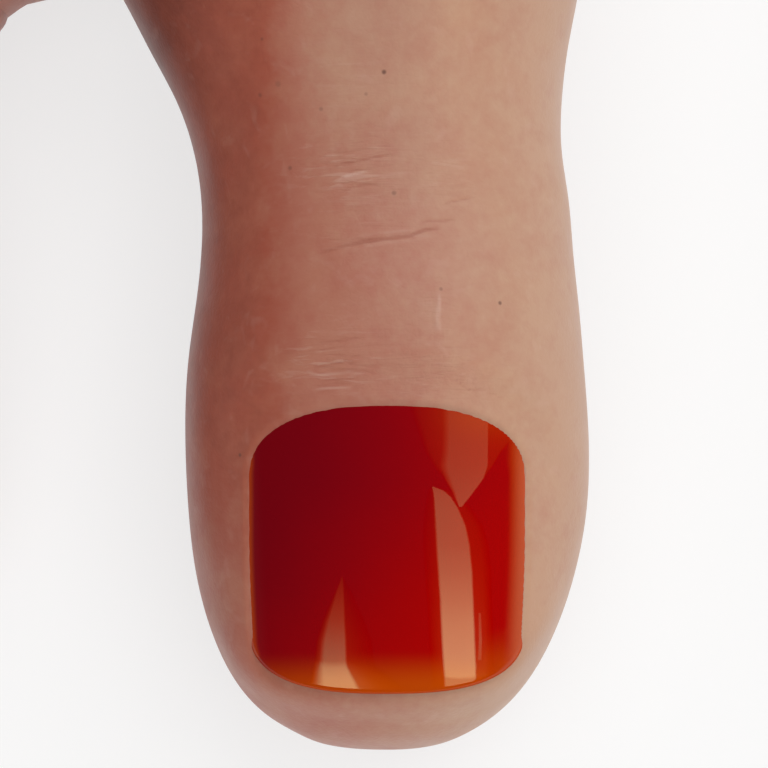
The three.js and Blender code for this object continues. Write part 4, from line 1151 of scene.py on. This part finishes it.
def nail_plate(nail, name, steps):
    """A press-on plate with a rounded edge, and the attributes that its colour runs along."""
    y = mix(-nail.root, nail.length, close_at_ends(steps))
    tuck = 1 - smooth_step(y, *(nail.length * share for share in TUCK_BAND))
    tuck *= PLATE_TUCK * smooth_step(y, -nail.root, TUCK_FULL * nail.length)
    outline = mirrored_outline(nail.whole_half_width(y) + tuck, y)
    middle = np.array((0, nail.length / 2))
    inward = unit(middle - outline)
    core = outline + inward * PLATE_ROUNDING
    turn = np.linspace(0, np.pi / 2, ROUNDING_STEPS)
    rings = [(mix(middle, core, share), 0) for share in FACE_SHARES]
    for angle in np.concatenate([turn, np.pi - turn[::-1]]):
        lowest = PLATE_ROUNDING if angle <= np.pi / 2 else nail.thickness - PLATE_ROUNDING
        outward = core - inward * PLATE_ROUNDING * math.sin(angle)
        rings.append((outward, PLATE_ROUNDING * math.cos(angle) - lowest))
    rings += [(mix(middle, core, share), -nail.thickness) for share in FACE_SHARES[::-3]]

    def bent(places, height):
        x, y = np.moveaxis(places, -1, 0)
        return nail.place(np.stack([x, y, height - nail.drop(x, y)], axis=-1))

    tips = [bent(ring.mean(axis=0), height) for ring, height in (rings[0], rings[-1])]
    piece = tube_object(name, np.array([bent(*ring) for ring in rings]), *tips)
    face_outwards(piece)
    put_nail_colours(piece, nail)
    turned = np.clip([-height / PLATE_ROUNDING * 4 for _, height in rings], 0, 1)
    put_attribute(piece, "edge", np.append(np.repeat(turned, len(outline)), (0, 1)))
    return piece


def put_nail_colours(piece, nail):
    """Where the gel is warm, and where its colour thins out to orange at the rim."""
    x, y, _ = nail.local(points_of(piece)).T
    length, width = nail.length, nail.width
    size = width / BIG_NAIL["width"]
    across, along = 0.5 - x / width, y / length
    put_attribute(piece, "warm", 0.95 * across + 0.75 * np.maximum(along - 0.26, 0) - 0.15)
    half = nail.half_width(np.clip(y, 0.2 * length, 0.86 * length))
    front = np.clip(1 - (length - y) / (2.5 * size), 0, 1) ** 1.05
    front *= mix(0.95, 1.2, smooth_step(across, 0.05, 0.75))
    corner = np.clip(1 - np.hypot((length - y) / size, (half + x) / size) / 4.2, 0, 1) * 1.1
    right = np.clip(1 - (half + x) / (0.95 * size), 0, 1) ** 0.7 * 0.85
    left = np.clip(1 - (half - x) / (0.28 * size), 0, 1) * 0.6
    shoulder = bell(along, 0.03, 0.1) * smooth_step(across, 0.55, 0.85) * 0.35
    put_attribute(piece, "rim", np.maximum.reduce([front, right, left, shoulder, corner]))


# The foot behind the toes

BODY_SIDES, BODY_RINGS = 96, 150
FOOT_VOXEL = 1.05
# Rounds of smoothing: all over, over the instep and ankle, and along the instep's crest
ALL_ROUNDS, INSTEP_ROUNDS, CREST_ROUNDS = 14, 70, 160
CREST = [(0.44, 0.25, 0.3), (0.42, 0.32, 0.39), (0.36, 0.4, 0.5), (0.3, 0.48, 0.62), (0.22, 0.55, 0.75)]
# Where that smoothing sets in behind the ball and above the sole, and where it ends below the ankle's cut
# and beside the crest
BALL_BAND, SOLE_BAND, CUT_BAND, CREST_BAND = (62, 84), (12, 30), (84, 92), (9, 22)
STUB_RINGS, STUB_SIDES = 40, 64
# How far a stub's front is drawn in, and the height that it is drawn to as a share of the toe's
STUB_SINK, STUB_HEART = 0.9, 0.55


def body_grid(sides, count):
    """The foot's form behind the toes, as rings from the ball of the foot to above the ankle's cut."""
    rows = np.array(BODY_ROWS)
    size = np.array((half_breadth, FOOT_LENGTH, FOOT_HEIGHT))
    gone = run_along(np.stack([rows[:, :3] * size, rows[:, 3:6] * size], axis=1))
    fine = natural_spline(gone, rows, np.linspace(0, gone[-1], count))
    top, bottom, inner, outer, waist = fine[:, 0], fine[:, 3], fine[:, 6], fine[:, 7], fine[:, 8]
    angles = np.linspace(0, 2 * np.pi, sides, endpoint=False)
    x, share = quarter_rings(top, bottom, inner, outer, waist, fine[:, 9:12].T, angles)
    outward = np.maximum(0, SWEEP_START - x) / (1 + SWEEP_START)
    y = mix(fine[:, 4:5], fine[:, 1:2], share) + fine[:, 12:13] * outward ** 2
    z = mix(fine[:, 5:6], fine[:, 2:3], share)
    return body_place(np.stack([x, y, z], axis=-1))


def body_place(places):
    """Places given as (across, back, up) in shares of the foot's half breadth, length and height."""
    return np.array((midline, front_y, 0)) + np.asarray(places) * (half_breadth, FOOT_LENGTH, FOOT_HEIGHT)


def closed_tube(name, grid):
    return tube_object(name, grid, grid[0].mean(axis=0), grid[-1].mean(axis=0))


def toe_stub(toe):
    """The root of a toe that the foot's skin grows round."""
    backs = np.linspace(toe.stub_start, toe.rows[-1][0] * toe.length, STUB_RINGS)
    return closed_tube(toe.name + "_stub", toe.surface(backs, even_angles(STUB_SIDES, 0.5)))


def ankle_ball(back, height, radii, rise, side):
    edge = BODY_ROWS[-2][6] if side > 0 else BODY_ROWS[-2][7]
    x = midline + edge * half_breadth - side * (radii[0] - rise)
    bpy.ops.mesh.primitive_uv_sphere_add(segments=48, ring_count=24, radius=1)
    ball = bpy.context.active_object
    ball.scale = [r * MM for r in radii]
    ball.location = Vector((x, front_y + back, height)) * MM
    bpy.ops.object.transform_apply(location=True, rotation=True, scale=True)
    return ball


def grown_together(pieces, name):
    """Pieces joined into one closed surface."""
    bpy.ops.object.select_all(action="DESELECT")
    for piece in pieces:
        piece.select_set(True)
    whole = pieces[0]
    bpy.context.view_layer.objects.active = whole
    bpy.ops.object.join()
    whole.name = whole.data.name = name
    whole.select_set(False)
    remesh = whole.modifiers.new("Remesh", "REMESH")
    remesh.mode = "VOXEL"
    remesh.voxel_size = FOOT_VOXEL * MM
    bpy.ops.object.modifier_apply(modifier=remesh.name)
    return whole


def relax(piece, rounds, keep=0):
    """Smooths a mesh by moving each vertex towards its neighbours' middle, less where keep is near 1."""
    count = len(piece.data.vertices)
    edges = np.empty(len(piece.data.edges) * 2, int)
    piece.data.edges.foreach_get("vertices", edges)
    a, b = edges.reshape(-1, 2).T
    linked = np.bincount(a, minlength=count) + np.bincount(b, minlength=count)
    points = points_of(piece)
    free = 0.5 * (1 - np.reshape(keep, (-1, 1)))
    for _ in range(rounds):
        total = np.zeros_like(points)
        for axis in range(3):
            total[:, axis] = np.bincount(a, points[b, axis], count) + np.bincount(b, points[a, axis], count)
        points += free * (total / linked[:, None] - points)
    put_points(piece, points)


def foot_form():
    """The foot's skin as one closed surface: body, ankle bones and toe roots, grown together."""
    parts = [closed_tube("foot_body", body_grid(BODY_SIDES, BODY_RINGS))]
    parts += [toe_stub(toe) for toe in toes]
    parts += [ankle_ball(*ankle) for ankle in ANKLES]
    form = grown_together(parts, "foot_silicone")
    relax(form, ALL_ROUNDS)
    points = points_of(form)
    back, height = points[:, 1] - front_y, points[:, 2]
    held = np.maximum(1 - smooth_step(back, *BALL_BAND), 1 - smooth_step(height, *SOLE_BAND))
    relax(form, INSTEP_ROUNDS, np.maximum(held, smooth_step(height, *CUT_BAND)))
    from_crest, _, _ = to_line(points_of(form), body_place(CREST))
    relax(form, CREST_ROUNDS, np.maximum(held, smooth_step(from_crest, *CREST_BAND)))
    points = points_of(form)
    points[:, 2] = np.maximum(points[:, 2], 0)
    put_points(form, points)
    add_tendons_and_veins(form)
    return form


def sink_stub(form, toe):
    """Draws the front of a toe's stub in, so that it stays under the toe's own skin."""
    points = points_of(form)
    local = toe.local(points)
    x, back, up = local.T
    mine = (np.abs(x) < toe.width * toe.sunk) & (back < toe.meet_end + 2) & (back > 0)
    share = 1 - smooth_step(back, toe.stub_start + 1, toe.meet_end + 1)
    inward = unit(np.stack([-x, 0 * x, toe.height * STUB_HEART - up], axis=1))
    moved = toe.place(local + inward * (share * STUB_SINK * mine)[:, None])
    put_points(form, np.where(mine[:, None], moved, points))


def loop_order(edges):
    """The vertices of a closed loop of edges, one after another."""
    loop = [edges[0].verts[0], edges[0].verts[1]]
    while len(loop) < len(edges):
        step = next(e for e in loop[-1].link_edges if e in edges and e.other_vert(loop[-1]) is not loop[-2])
        loop.append(step.other_vert(loop[-1]))
    return loop


def inset_loop(points, distance):
    """A closed loop moved inwards in its own plane, in millimetres."""
    tangent = np.roll(points, -RIM_REACH, axis=0) - np.roll(points, RIM_REACH, axis=0)
    normal = np.stack([-tangent[:, 1], tangent[:, 0]], 1)
    for _ in range(RIM_ROUNDS):
        normal = unit(normal)
        normal = normal / 2 + (np.roll(normal, 1, axis=0) + np.roll(normal, -1, axis=0)) / 4
    normal = unit(normal)
    turn = 1 if ((points.mean(axis=0) - points) * normal).sum() > 0 else -1
    return points + normal * distance * turn


RIM_ROUNDING = 0.8
RIM_SPACING = 0.45
RIM_TURNS = (0.5, 1.0, math.pi / 2)
# How the skin turns down to the cap: distances out from the cap's edge and down from the cut
CAP_TURN = [(RIM_ROUNDING, 0), (0.2, 0.06), (0, 0.3)]
# Over how many vertices the rim's direction is taken, and how often it is smoothed
RIM_REACH, RIM_ROUNDS = 6, 30


def cut_ankle(form):
    """Cuts the foot level at the ankle, rounds the rim and sinks the place for the cap."""
    mesh = bmesh.new()
    mesh.from_mesh(form.data)
    level = FOOT_HEIGHT - RIM_ROUNDING
    geometry = mesh.verts[:] + mesh.edges[:] + mesh.faces[:]
    bmesh.ops.bisect_plane(
        mesh, geom=geometry, plane_co=(0, 0, level * MM), plane_no=(0, 0, 1), clear_outer=True)
    rim = [v for v in mesh.verts if v.is_boundary]
    bmesh.ops.remove_doubles(mesh, verts=rim, dist=RIM_SPACING * MM)
    outer = loop_order([e for e in mesh.edges if e.is_boundary])
    flat = np.array([v.co[:2] for v in outer]) / MM
    cap = CAP_RIM - CLEARANCE
    steps = [(RIM_ROUNDING * (1 - math.cos(t)), level + RIM_ROUNDING * math.sin(t)) for t in RIM_TURNS]
    steps += [(cap - out, FOOT_HEIGHT - down) for out, down in CAP_TURN]
    steps += [(cap, FOOT_HEIGHT - CAP_THICKNESS - CLEARANCE)]
    for inset, height in steps:
        inner = [mesh.verts.new((x * MM, y * MM, height * MM)) for x, y in inset_loop(flat, inset)]
        for i, a in enumerate(outer):
            j = (i + 1) % len(outer)
            mesh.faces.new((a, outer[j], inner[j], inner[i]))
        outer = inner
    mesh.faces.new(outer)
    mesh.to_mesh(form.data)
    mesh.free()
    face_outwards(form)


# Tendons over the instep, from each toe's root to the front of the ankle, a few veins across them and
# folds in the sole, as places (across, back, up) in shares of the foot's half breadth, length and height
TENDON_END = (0.02, 0.60, 0.86)
VEINS = [
    [(-0.35, 0.62, 0.7), (-0.3, 0.52, 0.52), (-0.45, 0.42, 0.4), (-0.3, 0.34, 0.36)],
    [(0.45, 0.6, 0.72), (0.35, 0.5, 0.56), (0.1, 0.42, 0.46), (0.15, 0.34, 0.4)],
    [(-0.45, 0.42, 0.4), (-0.1, 0.4, 0.44), (0.1, 0.42, 0.46)],
]
FOLDS = [
    [(0.9, 0.31, 0.03), (0.3, 0.36, 0.0), (-0.3, 0.35, 0.0)],
    [(0.7, 0.4, 0.05), (0.2, 0.44, 0.0), (-0.4, 0.46, 0.0)],
    [(0.5, 0.7, 0.05), (0.1, 0.73, 0.0), (-0.5, 0.74, 0.0)],
]
# Half widths and heights of veins and folds, and how strongly the folds are painted with crease shade
VEIN, FOLD = (1.5, 0.42), (1.3, -0.2)
FOLD_SHADE = 0.3
# In how many places such a line is laid onto the skin, and the share of it over which it fades out
LINE_PLACES, LINE_FADE = 40, 0.22


def raise_line(piece, tree, places, half_width, height):
    """Raises the skin along a smooth line over it, or sinks it for a height below 0, and says by how much."""
    line = body_place(places)
    gone = run_along(line)
    smooth = natural_spline(gone, line, np.linspace(0, gone[-1], LINE_PLACES))
    points = points_of(piece)
    away, along, _ = to_line(points, [tree.find_nearest(Vector(p))[0] for p in smooth])
    lift = height * bell(away, 0, half_width) * fading_ends(along, LINE_FADE)
    put_points(piece, points + vectors_of(piece.data.vertex_normals, "vector") * lift[:, None])
    return lift


def add_tendons_and_veins(form):
    tree = tree_of(form)
    for toe in toes:
        start = toe.place((0, toe.length + 8, toe.height * 1.2)) - (midline, front_y, 0)
        across, back, up = start / (half_breadth, FOOT_LENGTH, FOOT_HEIGHT)
        middle = (across * 0.66, mix(back, 0.6, 0.5), 0.55)
        raise_line(form, tree, [(across, back, up), middle, TENDON_END], *toe.tendon)
    for vein in VEINS:
        raise_line(form, tree, vein, *VEIN)


def sole_folds(form):
    """Sinks the folds of the sole, and returns how strongly each vertex is painted with crease shade."""
    tree = tree_of(form)
    depth = np.zeros(len(form.data.vertices))
    for fold in FOLDS:
        depth -= raise_line(form, tree, fold, *FOLD)
    return depth * FOLD_SHADE


def dress(piece, material):
    piece.data.materials.clear()
    piece.data.materials.append(material)


def seen_place(tree, px, py):
    """The place on a piece that the camera sees at a pixel of the photograph, in metres."""
    return tree.ray_cast(Vector(view.origin), Vector(pixel_ray(px, py)))[0] * MM


# The dressed foot

foot = foot_form()
foot_tree = tree_of(foot)
for toe in toes:
    sink_stub(foot, toe)
cut_ankle(foot)
paint(foot, sole_folds(foot))
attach(foot, "foot")
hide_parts("foot_skin")

front, root = big_toe_skins(foot_tree)
big_toe.bend_place(KNUCKLE_BACK + KNUCKLE_REACH)
big_toe.bend_place(KNUCKLE_BACK - KNUCKLE_REACH)
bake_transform(front)
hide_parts("big_toe_tip_skin", "big_toe_knuckle_skin", "big_toe_middle_skin")
big_toe.bend_place(BIG_ROOT_BEND_BACK)
big_toe.bend_place(BIG_ROOT_FRONT)
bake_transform(root)
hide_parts("big_toe_root_skin")

skins = [foot, front, root]
for toe, nail in zip(toes[1:], nails[1:]):
    skin = lesser_toe_skin(toe, nail, foot_tree)
    toe.bend_place(toe.length + LESSER_BEND_REACH)
    toe.bend_place(toe.length - LESSER_BEND_REACH)
    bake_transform(skin)
    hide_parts(toe.name + "_tip_skin", toe.name + "_root_skin")
    skins.append(skin)

front_tree = tree_of(front)
moles = [(seen_place(front_tree, px, py), radius * PIXEL_SIZE * MM, dark) for px, py, radius, dark in MOLES]
silicone = silicone_material(moles)
for skin in skins:
    dress(skin, silicone)

polish = polish_material()
for toe, nail in zip(toes, nails):
    plate = nail_plate(nail, toe.name + "_press_on_nail", toe.plate_steps)
    dress(plate, polish)
    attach(plate, toe.name + "_nail_plate")
    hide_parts(toe.name + "_nail")

finishes = {
    "hard_resin": resin_material(), "steel": steel_material(), "nail_bed": nail_bed_material(),
    "silicone": silicone, "nail_polish": polish,
}
for part in frame["record"]["subparts"]:
    for material_slot in frame["nodes"][part["node"]].material_slots:
        material_slot.material = finishes[part["material_slot"]]

add_camera()
add_studio()
add_floor()
